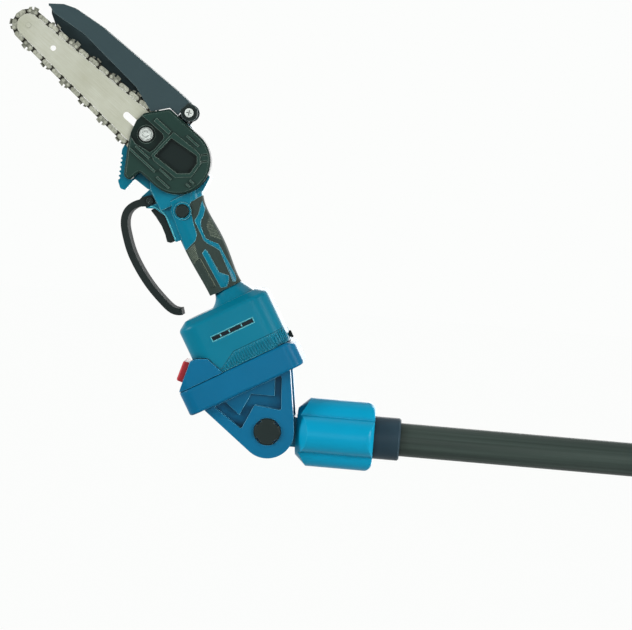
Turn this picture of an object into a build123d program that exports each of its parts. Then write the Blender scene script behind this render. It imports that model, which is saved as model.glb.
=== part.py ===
"""Telescoping pole saw: a small cordless chainsaw on a tilting clevis at the end of a two-tube pole.

+X runs along the pole to the rear handle and +Z is up. The saw's cover side faces -Y.
The origin is on the pole's axis, midway along the bare stretch of the lower tube.
"""

from math import acos, atan2, cos, degrees, hypot, pi, radians, sin, tan
import os

from build123d import *

os.makedirs("parts", exist_ok=True)

# Clearances, in millimetres
SEAT = 0.03  # between pieces that are assembled and stay put
RUN = 0.05  # radial, of a shaft or tube in its bore
MOVE = 0.4  # between pieces that pass one another

# Pole
UPPER_TUBE_OD = 32.0
TUBE_WALL = 1.5
UPPER_TUBE_LENGTH = 560.0
LOWER_TUBE_LENGTH = 520.0
EXPOSED_LENGTH = 250.0  # bare upper tube at rest
TUBE_SOCKET = 25.0
BUSH_WALL = 1.5
BUSH_LENGTH = 30.0
SHANK_WALL = 4.4
COLLET_WALL = 2.5
COLLET_LIP = 6.0
LIP_DEPTH = 4.0
COLLET_SHOW = 15.0
FERRULE_SHOW = 25.0
FERRULE_INSERT = 8.0
REAR_SOCKET = 70.0
REAR_WALL = 8.0
SOCKET_WALL = 4.0
CABLE_RADIUS = 7.0

# Twist collars
COLLAR_LENGTH = 74.0
COLLAR_GAP = 0.3  # between a collar's bore and its thread
COLLAR_WALL = 4.0
LOBE_RISE = 12.3  # lobe crest above the bore
LOBE_RADIUS = 18.0
LOBE_COUNT = 4
LOBE_TAPER = 11.0
LOBE_END = 8.0
COLLAR_EAR_GAP = 1.5

# Tilting clevis
HEAD_TILT = 30.0
EAR_RADIUS = 25.5
EAR_THICKNESS = 12.0
EAR_POCKET = 6.0
EAR_RIM = 4.5
EAR_PANEL_SINK = 3.0
TONGUE_GAP = 1.2  # between the ears' swing and the tongue's round part
HUB_RADIUS = 21.0
HUB_HALF = 15.5
NECK_HALF = 13.0
BOLT_RADIUS = 6.0
BUTTON_RADIUS = 12.6
BUTTON_PROUD = 2.0
BUTTON_TRAVEL = 5.0
BUTTON_LENGTH = 21.0
BUTTON_FACE = 6.0
BUTTON_NOTCHES = 4
NOTCH_WIDTH = 5.0
NOTCH_DEPTH = 2.0

# Slide pack: the adapter under the saw, and the battery
PACK_FRONT = -60.0
PACK_REAR = 59.5
PACK_TOP = 69.0
PACK_WIDTH = 72.0
PACK_CORNER = 12.0
SKIRT_LOW = 44.0
SKIRT_ROUND = 2.5
SKIRT_REAR_RUN = 6.5  # the skirt's top corner slopes off at the rear
SKIRT_REAR_FALL = 4.5
BATTERY_LID = 14.0
BATTERY_WALL = 2.5
BATTERY_POCKET = 1.0  # sunk panel in each side
CELL_RADIUS = 9.2
CELL_LENGTH = 65.0
CELL_COLUMNS = 5
CELL_ROWS = 2
CELL_PITCH = 19.0
NOSE_RISE = 22.5  # height of the pack's sloped front
NOSE_RUN = 23.5
NOSE_FLAT = 6.0
RAIL_REAR = 48.0
RAIL_NECK_HALF = 20.0
RAIL_NECK_HEIGHT = 4.0
RAIL_HALF = 25.0
RAIL_HEIGHT = 8.0
LATCH_LENGTH = 20.0
LATCH_SHIFT = 2.5  # up the slope from its middle
LATCH_HALF = 16.0
LATCH_PROUD = 7.5
LATCH_ROOT = 3.0
LATCH_TRAVEL = 4.0
BLADE_SPACING = 12.0
BLADE_THICKNESS = 1.0
BLADE_FRONT = 10.0
BLADE_REAR = 28.0
BLADE_DROP = 4.0
TERMINAL_HALF = 11.0
TERMINAL_HEIGHT = 8.0

# Foot and handle, shared by the saw and the rear handle
FOOT_FRONT = -36.0
FOOT_REAR = 56.0
FOOT_WIDTH = 68.0
FOOT_TOP = 127.0
FOOT_CORNER = 18.0
ROOF_FALL = 6.0
ROOF_RUN = 9.0
ROOF_SOFT = 5.0
ROOF_EDGE = 3.0
FOOT_FLOOR = 3.0
FOOT_ROOF = 5.0
FOOT_WALL = 6.0
FOOT_END_WALL = 14.0
HANDLE_LOW = 139.0
HANDLE_TOP = 236.0
HANDLE_MID = 18.0
HANDLE_CORNER = 12.0
NECK_CORNER = 12.0
GRIP_SKIN = 1.8
DUCT_WIDTH = 14.0
DUCT_HALF = 6.0
SCREW_RADIUS = 1.5
SCREW_HEAD = 3.0
SCREW_HEAD_HEIGHT = 2.5
SCREW_SEAT = -10.0
SCREW_TIP = 7.0

# Triggers, switches and the lock-off button
TRIGGER_LOW = 200.5
TRIGGER_HIGH = 237.0
TRIGGER_HALF = 7.0
TRIGGER_BACK = 8.0
TRIGGER_TRAVEL = 5.0
SWITCH_FRONT = 16.0
SWITCH_REAR = 30.0
SWITCH_LOW = 203.0
SWITCH_HIGH = 230.0
SWITCH_HALF = 7.5
TRIGGER_SPRING_RADIUS = 3.0
TRIGGER_SPRING_WIRE = 0.8
SHROUD_HALF = 13.0
YOKE_HALF = 15.5
LOCK_U = 16.0
LOCK_V = 223.0
LOCK_RADIUS = 6.2
LOCK_TRAVEL = 4.0
LOCK_OUTER = 20.5
LOCK_RING = 2.2
LOCK_RING_TOP = 18.6

# Wrist strap post at the foot's heel
POST_V = 73.2
POST_RADIUS = 2.4
POST_LENGTH = 1.0
POST_HEAD = 3.6
POST_HEAD_LENGTH = 2.5

# Knuckle guard
STRAP_THICKNESS = 6.6
STRAP_HALF = 12.0
FORK_THICKNESS = 3.0
FORK_U = -8.4
FORK_V = 245.2

# Saw head
STUD_U = 17.0
STUD_V = 302.5
BAR_LEAN = 22.2
BAR_REACH = 152.4  # stud to nose rivet
BAR_NOSE_RADIUS = 11.0
BAR_ROOT_HALF = 17.0
BAR_ROOT_X = -2.0
BAR_TAIL_X = 20.0
BAR_TAIL_HALF = 11.0
BAR_THICKNESS = 3.0
BAR_SLOT_WIDTH = 6.5
BAR_SLOT_FRONT = -30.0
BAR_SLOT_REAR = 8.0
BAR_HOLE_X = -120.6
BAR_HOLE_RADIUS = 2.6
STUD_RADIUS = 3.0
STUD_BACK = 2.0
NUT_FLANGE = 6.6
NUT_FLANGE_HEIGHT = 1.6
NUT_ACROSS_FLATS = 10.0
NUT_HEIGHT = 6.0
PLATE_FRONT = 10.0
PLATE_BACK = -8.0
PLATE_WELL = 3.0
PLATE_TOP = 33.4
BAR_PAD = 2.0
COVER_FRONT = 27.0
COVER_X = 38.5
COVER_Y = 1.3
COVER_RADIUS = 31.5
COVER_WALL = 3.0
COVER_FACE = 5.5
COVER_BEVEL = 2.0
NUT_SINK = 3.0
POCKET_SINK = 2.6
PANEL_SINK = 2.0
COVER_BAR = 1.6
LABEL_RIM = 0.8
PAD_HALF = 8.0
COVER_ROUND = 3.2
DRUM_X = 40.3
DRUM_Y = -8.4
DRUM_RADIUS = 27.0
DRUM_BACK = -40.0
DRUM_ROUND = 5.0
VENT_INNER = 8.0
VENT_OUTER = 21.0
VENT_SINK = 1.2

# Chain
CHAIN_PITCH = 6.35
SPROCKET_X = 40.0
SPROCKET_TEETH = 7
NOSE_TEETH = 9
TOOTH_DEPTH = 2.2
RAIL_RIDE = 2.6  # rivet line above the bar's edge
GROOVE_WIDTH = 1.3
GROOVE_DEPTH = 3.6
DRIVE_LINK_THICKNESS = 1.1
STRAP_LINK_THICKNESS = 1.2
LINK_HEIGHT = 4.4
TANG_DEPTH = 5.2
RIVET_RADIUS = 1.1
RIVET_HEAD = 1.5
RIVET_HEAD_HEIGHT = 0.4
CUTTER_HEIGHT = 5.2
NOSE_RIVET_RADIUS = 2.4

# Drive
GEAR_MODULE = 1.0
GEAR_TEETH = 24
PINION_TEETH = 10
PRESSURE_ANGLE = 25.0
GEAR_BACKLASH = 0.3
GEAR_WIDTH = 5.0
GEAR_FRONT = -3.0
PINION_FRONT = -2.0
PINION_LENGTH = 7.0
MOTOR_RADIUS = 16.0
MOTOR_FRONT = -15.0
MOTOR_LENGTH = 21.0
MOTOR_DIRECTION = 200.0
MOTOR_SHAFT_RADIUS = 1.6
SPINDLE_RADIUS = 4.0
SHAFT_ROOM = 1.0
SPINDLE_TIP = 18.0
BEARING_RADIUS = 8.0
BEARING_WIDTH = 5.0
SPROCKET_HALF = 3.2

# Chain guard
HINGE_X = 16.5
HINGE_Y = 42.3
GUARD_NEAR = 23.5
GUARD_FAR = 3.5
GUARD_WALL = 2.2
GUARD_TAB = 8.0
HINGE_RADIUS = 2.0
HINGE_HEAD = 4.2
HINGE_HEAD_HEIGHT = 2.4
BRACKET_RADIUS = 6.8
BRACKET_FOOT = 4.0
BRACKET_FOOT_HALF = 7.0
BRACKET_ARM_HALF = 5.0

# Strap eye on the rear handle
EYE_RADIUS = 4.5
EYE_WALL = 4.0
EYE_HALF = 5.0

# Radii that follow from the sizes above
upper_r = UPPER_TUBE_OD / 2
bush_r = upper_r + BUSH_WALL
lower_in_r = bush_r + RUN
lower_r = lower_in_r + TUBE_WALL
shank_r = upper_r + SHANK_WALL
collet_r = lower_r + COLLET_WALL

# Stations along the pole, from the pivot
collar_x0 = EAR_RADIUS + COLLAR_EAR_GAP
collar_x1 = collar_x0 + COLLAR_LENGTH
shank_x1 = collar_x1 - FERRULE_INSERT
ferrule_x1 = collar_x1 + FERRULE_SHOW
upper_x0 = shank_x1 - TUBE_SOCKET
upper_x1 = upper_x0 + UPPER_TUBE_LENGTH
lock_x0 = ferrule_x1 + EXPOSED_LENGTH
collet_x0 = lock_x0 - COLLET_LIP
lower_x0 = lock_x0 + LIP_DEPTH
collet_x1 = lock_x0 + COLLAR_LENGTH + COLLET_SHOW
lower_x1 = lower_x0 + LOWER_TUBE_LENGTH
rear_front_x = lower_x1 + REAR_WALL
hand_x = (collet_x1 + lower_x1 - REAR_SOCKET) / 2
switch_face_x = rear_front_x + HANDLE_TOP - SWITCH_HIGH

# Heights and depths that follow
ear_inner = HUB_HALF + MOVE
ear_outer = ear_inner + EAR_THICKNESS
foot_low = PACK_TOP + MOVE
rail_neck_top = PACK_TOP + RAIL_NECK_HEIGHT
rail_top = PACK_TOP + RAIL_HEIGHT
foot_floor_top = rail_top + MOVE + FOOT_FLOOR
pack_mid = (PACK_FRONT + PACK_REAR) / 2
pack_length = PACK_REAR - PACK_FRONT
foot_mid = (FOOT_FRONT + FOOT_REAR) / 2
foot_length = FOOT_REAR - FOOT_FRONT
bar_back = PLATE_FRONT + BAR_PAD
bar_mid = bar_back + BAR_THICKNESS / 2
bar_front = bar_back + BAR_THICKNESS
sprocket_pitch_r = SPROCKET_TEETH * CHAIN_PITCH / pi
gear_distance = GEAR_MODULE * (GEAR_TEETH + PINION_TEETH) / 2


def turned(frame, x, y, angle):
    """A side-view frame at (x, y) of another one, turned anticlockwise."""
    return Plane(frame.location * Location((x, y, 0), (0, 0, angle)))


def across(frame, height):
    """A plan-view plane at a height of a side-view frame, seen from above."""
    return Plane(frame.from_local_coords((0, height, 0)), x_dir=frame.x_dir, z_dir=frame.y_dir)


# Side-view frames: x to the right, y up and z towards the viewer
POLE = Plane((-hand_x, 0, 0), x_dir=(1, 0, 0), z_dir=(0, -1, 0))
HEAD = turned(POLE, 0, 0, HEAD_TILT)
BAR = turned(HEAD, STUD_U, STUD_V, BAR_LEAN - 90)
REAR = Plane((rear_front_x + HANDLE_TOP - hand_x, 0, -HANDLE_MID), x_dir=(0, 0, 1), z_dir=(0, -1, 0))


def finish(builder, name):
    """Label a finished piece and write it."""
    builder.part.label = name
    export_step(builder.part, f"parts/{name}.step")


def tube(x0, x1, outer, inner=0.0, mode=Mode.ADD):
    """A round stretch on the pole's axis, between two stations from the pivot."""
    with BuildSketch(Plane.YZ.offset(x0 - hand_x)) as ring:
        Circle(outer)
        if inner:
            Circle(inner, mode=Mode.SUBTRACT)
    extrude(ring.sketch, amount=x1 - x0, mode=mode)


def disc(frame, x, y, back, front, outer, inner=0.0, mode=Mode.ADD):
    """A round stretch square to a side view, from one depth to another."""
    with BuildSketch(frame.offset(back)) as ring:
        with Locations((x, y)):
            Circle(outer)
            if inner:
                Circle(inner, mode=Mode.SUBTRACT)
    extrude(ring.sketch, amount=front - back, mode=mode)


def slab(frame, points, back, front, rounding=0.0, mode=Mode.ADD):
    """A side-view outline with rounded corners, from one depth to another."""
    with BuildSketch(frame.offset(back)) as outline:
        with BuildLine():
            if rounding:
                FilletPolyline(*points, radius=rounding, close=True)
            else:
                Polyline(*points, close=True)
        make_face()
    extrude(outline.sketch, amount=front - back, mode=mode)


def block(frame, x0, x1, y0, y1, back, front, mode=Mode.ADD):
    """A rectangular block in a side-view frame."""
    slab(frame, [(x0, y0), (x1, y0), (x1, y1), (x0, y1)], back, front, mode=mode)


# Pole tubes and their bush, ferrule and collet
with BuildPart() as upper_tube:
    tube(upper_x0, upper_x1, upper_r, upper_r - TUBE_WALL)
finish(upper_tube, "upper_tube")

with BuildPart() as lower_tube:
    tube(lower_x0, lower_x1, lower_r, lower_in_r)
finish(lower_tube, "lower_tube")

with BuildPart() as slide_bush:
    tube(upper_x1 - BUSH_LENGTH, upper_x1, bush_r, upper_r + SEAT)
finish(slide_bush, "slide_bush")

with BuildPart() as pole_ferrule:
    tube(shank_x1 + SEAT, ferrule_x1, shank_r, upper_r + SEAT)
    chamfer(pole_ferrule.edges().group_by(Axis.X)[-1].sort_by(SortBy.RADIUS)[-1], 1.5)
finish(pole_ferrule, "pole_ferrule")

with BuildPart() as lower_collet:
    tube(collet_x0, collet_x1, collet_r, upper_r + RUN)
    tube(lower_x0 - SEAT, collet_x1, lower_r + SEAT, mode=Mode.SUBTRACT)
    chamfer(lower_collet.edges().group_by(Axis.X)[-1].sort_by(SortBy.RADIUS)[-1], 1.2)
finish(lower_collet, "lower_collet")


def lobed_collar(x0, bore):
    """A twist collar with round lobes, tapered at one end and rounded at the other."""
    with BuildPart() as collar:
        with BuildSketch(Plane.YZ.offset(x0 - hand_x)):
            Circle(bore + COLLAR_WALL)
            with PolarLocations(bore + LOBE_RISE - LOBE_RADIUS, LOBE_COUNT):
                Circle(LOBE_RADIUS)
        extrude(amount=COLLAR_LENGTH)
        with BuildSketch(POLE):
            x1 = x0 + COLLAR_LENGTH
            crest = bore + LOBE_RISE
            with BuildLine():
                RadiusArc((x1 - LOBE_END, crest), (x1, crest - LOBE_END), LOBE_END)
                Polyline(
                    (x1, crest - LOBE_END),
                    (x1, 0),
                    (x0, 0),
                    (x0, bore + COLLAR_WALL / 2),
                    (x0 + LOBE_TAPER, crest),
                    (x1 - LOBE_END, crest),
                )
            make_face()
        revolve(axis=Axis.X, mode=Mode.INTERSECT)
        tube(x0, x0 + COLLAR_LENGTH, bore, mode=Mode.SUBTRACT)
    return collar


head_collar = lobed_collar(collar_x0, shank_r + COLLAR_GAP)
finish(head_collar, "head_collar")

telescope_collar = lobed_collar(lock_x0, collet_r + COLLAR_GAP)
finish(telescope_collar, "telescope_collar")

# Tilt joint: tongue, bolt, push button and its spring
button_front = ear_outer + BUTTON_PROUD
button_back = button_front - BUTTON_LENGTH
button_hole = BUTTON_RADIUS + MOVE
hub_floor = button_back - BUTTON_TRAVEL - MOVE
bolt_tip = button_back + BUTTON_TRAVEL + MOVE
bolt_head = -ear_outer + EAR_POCKET

with BuildPart() as swivel_tongue:
    disc(POLE, 0, 0, -HUB_HALF, HUB_HALF, HUB_RADIUS)
    block(POLE, 0, collar_x0, -shank_r * 0.7, shank_r * 0.7, -NECK_HALF, NECK_HALF)
    tube(EAR_RADIUS + TONGUE_GAP, shank_x1, shank_r)
    tube(upper_x0 - SEAT, shank_x1, upper_r + SEAT, mode=Mode.SUBTRACT)
    disc(POLE, 0, 0, -HUB_HALF, HUB_HALF, BOLT_RADIUS + RUN, mode=Mode.SUBTRACT)
    disc(POLE, 0, 0, hub_floor, HUB_HALF, button_hole, mode=Mode.SUBTRACT)
finish(swivel_tongue, "swivel_tongue")

with BuildPart() as pivot_bolt:
    disc(POLE, 0, 0, bolt_head, bolt_tip, BOLT_RADIUS)
    disc(POLE, 0, 0, -ear_outer - BUTTON_PROUD, bolt_head, BUTTON_RADIUS)
    fillet(pivot_bolt.edges().group_by(Axis.Y)[-1], 1.2)
finish(pivot_bolt, "pivot_bolt")

with BuildPart() as pivot_button:
    disc(HEAD, 0, 0, button_back, button_front, BUTTON_RADIUS)
    fillet(pivot_button.edges().group_by(Axis.Y)[0], 1.2)
    disc(HEAD, 0, 0, button_back, button_front - BUTTON_FACE, BOLT_RADIUS + MOVE, mode=Mode.SUBTRACT)
    with BuildSketch(HEAD.offset(button_back)):
        with PolarLocations(BUTTON_RADIUS, BUTTON_NOTCHES, start_angle=15):
            Rectangle(2 * NOTCH_DEPTH, NOTCH_WIDTH + 2 * MOVE)
    extrude(amount=BUTTON_LENGTH, mode=Mode.SUBTRACT)
finish(pivot_button, "pivot_button")

with BuildPart() as pivot_spring:
    disc(HEAD, 0, 0, bolt_tip, button_front - BUTTON_FACE, BOLT_RADIUS - 0.5, BOLT_RADIUS - 1.7)
finish(pivot_spring, "pivot_spring")

# Clevis: a skirt that carries the slide pack, on two ribbed ears
skirt_round = min(SKIRT_ROUND, (PACK_TOP - SKIRT_LOW) / 4)
skirt_corner = [
    (PACK_REAR - 2 * SKIRT_REAR_RUN, PACK_TOP + SKIRT_REAR_FALL),
    (PACK_REAR + SKIRT_REAR_RUN, PACK_TOP - 2 * SKIRT_REAR_FALL),
    (PACK_REAR + SKIRT_REAR_RUN, PACK_TOP + SKIRT_REAR_FALL),
]
ear_half_top = (PACK_REAR - PACK_FRONT) / 2 - 2 * EAR_THICKNESS / 2 - 3.0


def plan(frame, low, high, length, width, corner, mode=Mode.ADD):
    """A rounded plan outline between two heights of a frame, centred over the pack."""
    with BuildSketch(across(frame, low)) as outline:
        with Locations((pack_mid, 0)):
            RectangleRounded(length, width, corner)
    extrude(outline.sketch, amount=high - low, mode=mode)


with BuildPart() as clevis:
    plan(HEAD, SKIRT_LOW, PACK_TOP, pack_length, PACK_WIDTH, PACK_CORNER)
    fillet(clevis.faces().sort_by(Axis((0, 0, 0), HEAD.y_dir))[0].edges(), skirt_round)
    fillet(clevis.faces().sort_by(Axis((0, 0, 0), HEAD.y_dir))[-1].edges(), skirt_round)
    slab(HEAD, skirt_corner, -PACK_WIDTH, PACK_WIDTH, mode=Mode.SUBTRACT)
    for back in (ear_inner, -ear_outer):
        with BuildSketch(HEAD.offset(back)):
            Circle(EAR_RADIUS)
            with Locations((pack_mid, SKIRT_LOW)):
                Rectangle(2 * ear_half_top, 2.0)
            make_hull()
        extrude(amount=EAR_THICKNESS)
    for back, panel_lift in ((ear_outer - EAR_POCKET, 0.0), (-ear_outer, EAR_PANEL_SINK)):
        panel_back = back + panel_lift
        pocket_top = SKIRT_LOW - skirt_round / 2
        rim = ear_half_top - EAR_RIM * 2
        boss = EAR_RADIUS - EAR_RIM
        slab(
            HEAD,
            [
                (pack_mid - rim, pocket_top),
                (pack_mid - boss, EAR_RADIUS / 2),
                (pack_mid, EAR_RADIUS + 2.5),
                (pack_mid + boss, EAR_RADIUS / 2),
                (pack_mid + rim, pocket_top),
            ],
            back,
            back + EAR_POCKET,
            rounding=1.5,
            mode=Mode.SUBTRACT,
        )
        ear_panel = [(-24.4, pocket_top), (-17.5, 25.5), (1.3, 38.8), (20.6, 27.6), (28.5, pocket_top)]
        slab(HEAD, ear_panel, panel_back, panel_back + EAR_POCKET - EAR_PANEL_SINK)
    disc(HEAD, 0, 0, ear_inner, ear_outer, button_hole, mode=Mode.SUBTRACT)
    disc(HEAD, 0, 0, -ear_outer, -ear_inner, BOLT_RADIUS + SEAT, mode=Mode.SUBTRACT)
    disc(HEAD, 0, 0, -ear_outer, bolt_head, BUTTON_RADIUS + SEAT, mode=Mode.SUBTRACT)
    with BuildSketch(HEAD.offset(ear_inner)):
        with PolarLocations(button_hole + NOTCH_DEPTH / 2 - MOVE, BUTTON_NOTCHES, start_angle=15):
            Rectangle(3 * NOTCH_DEPTH, NOTCH_WIDTH)
        Circle(button_hole + NOTCH_DEPTH, mode=Mode.INTERSECT)
    extrude(amount=EAR_THICKNESS - BUTTON_PROUD)
finish(clevis, "clevis")


# Slide pack top: sloped front with a latch, and a T rail with blade slots
def nose_points(frame_gap=0.0):
    """Side outline of the pack's raised front, grown by a gap towards the foot."""
    top = PACK_TOP + NOSE_RISE
    crest = PACK_FRONT + NOSE_RUN
    return [
        (PACK_FRONT, PACK_TOP),
        (crest, top + frame_gap),
        (crest + NOSE_FLAT + frame_gap, top - 0.5 + frame_gap),
        (crest + NOSE_FLAT + 9.5 + frame_gap, top - 4.6 + frame_gap),
        (crest + NOSE_FLAT + 17.3 + frame_gap, PACK_TOP),
    ]


nose_slope = hypot(NOSE_RUN, NOSE_RISE)
nose_angle = acos(NOSE_RUN / nose_slope) * 180 / pi


def latch_frame(frame):
    """Frame on the sloped front: x up the slope and y out of it."""
    share = 0.5 + LATCH_SHIFT / nose_slope
    return turned(frame, PACK_FRONT + NOSE_RUN * share, PACK_TOP + NOSE_RISE * share, nose_angle)


def pack_top(frame):
    """The sloped front and the rail on top of a pack."""
    latch = latch_frame(frame)
    reach = LATCH_LENGTH / 2 + MOVE
    depth = LATCH_ROOT + LATCH_TRAVEL + MOVE
    rail_front = PACK_FRONT + NOSE_RUN + NOSE_FLAT
    with BuildPart() as top:
        slab(frame, nose_points(), -PACK_WIDTH / 2, PACK_WIDTH / 2)
        nose_width = PACK_WIDTH - 2 * MOVE
        nose_high = PACK_TOP + 2 * NOSE_RISE
        plan(frame, PACK_TOP, nose_high, pack_length, nose_width, PACK_CORNER, Mode.INTERSECT)
        block(latch, -reach, reach, -depth, depth, -LATCH_HALF - MOVE, LATCH_HALF + MOVE, Mode.SUBTRACT)
        block(frame, rail_front, RAIL_REAR, PACK_TOP, rail_neck_top, -RAIL_NECK_HALF, RAIL_NECK_HALF)
        block(frame, rail_front, RAIL_REAR, rail_neck_top, rail_top, -RAIL_HALF, RAIL_HALF)
        for side in (-1, 1):
            mid = side * BLADE_SPACING / 2
            half = BLADE_THICKNESS / 2 + MOVE
            low = rail_top - BLADE_DROP - MOVE
            front = BLADE_FRONT - MOVE
            block(frame, front, RAIL_REAR, low, rail_top, mid - half, mid + half, Mode.SUBTRACT)
    return top.part


def latch_button(frame):
    """The pack's release button, which slides into the sloped front."""
    latch = latch_frame(frame)
    with BuildPart() as button:
        half = LATCH_LENGTH / 2
        outline = [(-half, -LATCH_ROOT), (half, -LATCH_ROOT), (half, LATCH_PROUD), (-half, LATCH_PROUD)]
        slab(latch, outline, -LATCH_HALF, LATCH_HALF)
        fillet(button.faces().sort_by(Axis((0, 0, 0), latch.y_dir))[-1].edges(), 2.0)
    return button


adapter_top = pack_top(HEAD)
with BuildPart() as adapter_case:
    add(adapter_top)
finish(adapter_case, "adapter_case")

adapter_button = latch_button(HEAD)
finish(adapter_button, "adapter_button")


# Foot, neck and handle, shared by the saw and the rear handle
grip_stations = [
    (HANDLE_LOW, 4.0, 36.3, 16.5),
    (165.0, 2.6, 37.2, 18.5),
    (188.0, 1.4, 38.0, 18.5),
    (212.0, 2.0, 36.4, 17.5),
    (HANDLE_TOP, 3.0, 42.5, 17.0),
]
neck_stations = [
    (FOOT_TOP - 2.0, -2.0, 46.0, 26.0),
    (132.0, 6.5, 41.0, 19.5),
    (HANDLE_LOW + 0.5, 9.0, 36.0, 15.0),
]


def station_loft(frame, stations, corner, inset=0.0):
    """Loft rounded rectangles: height, front, rear and half width of each."""
    with BuildPart() as body:
        for height, front, rear, half in stations:
            with BuildSketch(across(frame, height)):
                with Locations(((front + rear) / 2, 0)):
                    RectangleRounded(rear - front - 2 * inset, 2 * (half - inset), corner - inset)
        loft()
    return body.part


grip_edge = [
    (-6.0, HANDLE_LOW - 1.0),
    (-6.0, 187.5),
    (4.0, 188.3),
    (15.5, 192.5),
    (19.0, 197.0),
    (21.0, 210.0),
    (25.5, 227.0),
    (46.0, 229.5),
    (46.0, HANDLE_LOW - 1.0),
]
rear_inlay = [
    (36.4, 224.4),
    (36.0, 216.0),
    (31.7, 209.8),
    (28.4, 207.6),
    (25.9, 202.2),
    (25.2, 190.1),
    (28.0, 186.6),
    (33.6, 180.5),
    (34.2, 173.4),
    (35.0, 148.5),
    (34.6, 144.4),
    (32.8, 140.9),
    (30.4, 142.8),
    (31.1, 151.3),
    (31.8, 174.5),
    (29.4, 178.6),
    (24.4, 185.3),
    (22.6, 189.1),
    (22.4, 209.7),
    (28.6, 214.1),
]
side_inlay = [
    (15.9, 179.0),
    (20.3, 181.4),
    (21.6, 177.8),
    (23.0, 155.9),
    (29.4, 149.2),
    (28.6, 145.9),
    (23.6, 140.1),
    (17.7, 141.8),
]


def prism(frame, points, rounding):
    """An outline right through the handle."""
    with BuildPart() as body:
        slab(frame, points, -2 * SHROUD_HALF, 2 * SHROUD_HALF, rounding)
    return body.part


screw_spots = [
    (FOOT_FRONT + 9.0, 112.0),
    (FOOT_REAR - 7.0, 112.0),
    (8.0, 152.0),
    (8.0, 180.0),
]


def screw_holes(frame, spots, seat=SCREW_SEAT):
    """Cut screw holes with deep wells for their heads from the far side."""
    for x, y in spots:
        disc(frame, x, y, seat, SCREW_TIP + MOVE, SCREW_RADIUS + SEAT, mode=Mode.SUBTRACT)
        disc(frame, x, y, 2 * DRUM_BACK, seat, SCREW_HEAD + MOVE, mode=Mode.SUBTRACT)


def grip_solid(frame):
    """Rubber skin over the handle's core, with the inlays left open."""
    outer = station_loft(frame, grip_stations, HANDLE_CORNER)
    core = station_loft(frame, grip_stations, HANDLE_CORNER, GRIP_SKIN)
    region = prism(frame, grip_edge, 3.0)
    inlays = [prism(frame, rear_inlay, 0.8), prism(frame, side_inlay, 1.0)]
    with BuildPart() as grip:
        add(outer)
        add(region, mode=Mode.INTERSECT)
        add([core, *inlays], mode=Mode.SUBTRACT)
        screw_holes(frame, screw_spots)
    return grip.part


def screws(frame, spots, seat=SCREW_SEAT):
    """Pan-head screws from the far side."""
    with BuildPart() as group:
        for x, y in spots:
            disc(frame, x, y, seat, SCREW_TIP, SCREW_RADIUS)
            disc(frame, x, y, seat - SCREW_HEAD_HEIGHT, seat, SCREW_HEAD)
    return group


def trigger_room(frame):
    """Cut the trigger's slot and the space for the switch behind it."""
    slot = (2 * FOOT_FRONT, TRIGGER_BACK + TRIGGER_TRAVEL + MOVE, TRIGGER_LOW - MOVE, TRIGGER_HIGH + MOVE)
    slot_half = TRIGGER_HALF + MOVE
    space = (TRIGGER_BACK, SWITCH_REAR, SWITCH_LOW, SWITCH_HIGH)
    block(frame, *slot, -slot_half, slot_half, Mode.SUBTRACT)
    block(frame, *space, -SWITCH_HALF, SWITCH_HALF, Mode.SUBTRACT)


def foot_and_handle(frame):
    """Foot, neck and handle in one, with the pack's slot and the inner spaces cut."""
    neck = station_loft(frame, neck_stations, NECK_CORNER)
    handle = station_loft(frame, grip_stations, HANDLE_CORNER)
    skin = grip_solid(frame)
    nose_gap = nose_points(MOVE)
    nose_low = PACK_TOP - 1
    nose_cut = [
        (PACK_FRONT, nose_low),
        (PACK_FRONT, nose_gap[1][1]),
        *nose_gap[2:4],
        (nose_gap[4][0], nose_low),
    ]
    slot_end = RAIL_REAR + MOVE
    neck_half = RAIL_NECK_HALF + MOVE
    rail_half = RAIL_HALF + MOVE
    room = (FOOT_FRONT + FOOT_END_WALL, FOOT_REAR - FOOT_END_WALL)
    room_half = FOOT_WIDTH / 2 - FOOT_WALL
    roof = FOOT_TOP - FOOT_ROOF
    well = (BLADE_FRONT - 2, BLADE_REAR + 2)
    duct = (HANDLE_MID - DUCT_WIDTH / 2, HANDLE_MID + DUCT_WIDTH / 2)
    with BuildPart() as body:
        with BuildSketch(across(frame, foot_low)):
            with Locations((foot_mid, 0)):
                RectangleRounded(foot_length, FOOT_WIDTH, FOOT_CORNER)
        extrude(amount=FOOT_TOP - foot_low)
        top_face = body.faces().sort_by(Axis((0, 0, 0), frame.y_dir))[-1]
        chamfer(top_face.edges(), ROOF_RUN, ROOF_FALL, reference=top_face)
        fillet(body.edges().group_by(Axis((0, 0, 0), frame.y_dir))[-3], ROOF_SOFT)
        fillet(body.edges().group_by(Axis((0, 0, 0), frame.y_dir))[-1], ROOF_EDGE)
        add([neck, handle])
        slab(frame, nose_cut, -PACK_WIDTH, PACK_WIDTH, mode=Mode.SUBTRACT)
        block(frame, PACK_FRONT, slot_end, PACK_TOP, rail_neck_top, -neck_half, neck_half, Mode.SUBTRACT)
        rail_room = (rail_neck_top - MOVE, rail_top + MOVE)
        block(frame, PACK_FRONT, slot_end, *rail_room, -rail_half, rail_half, Mode.SUBTRACT)
        block(frame, *room, foot_floor_top, roof, -room_half, room_half, Mode.SUBTRACT)
        block(frame, *well, PACK_TOP, roof, -TERMINAL_HALF, TERMINAL_HALF, Mode.SUBTRACT)
        block(frame, *duct, roof, SWITCH_LOW, -DUCT_HALF, DUCT_HALF, Mode.SUBTRACT)
        trigger_room(frame)
        screw_holes(frame, screw_spots)
        add(skin, mode=Mode.SUBTRACT)
    return body.part


trigger_outline = [
    (-12.0, TRIGGER_HIGH),
    (-10.3, 229.0),
    (-9.0, 219.0),
    (-9.5, 210.0),
    (-10.9, 203.0),
    (-8.0, TRIGGER_LOW),
    (TRIGGER_BACK, TRIGGER_LOW),
    (TRIGGER_BACK, TRIGGER_HIGH),
]


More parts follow.
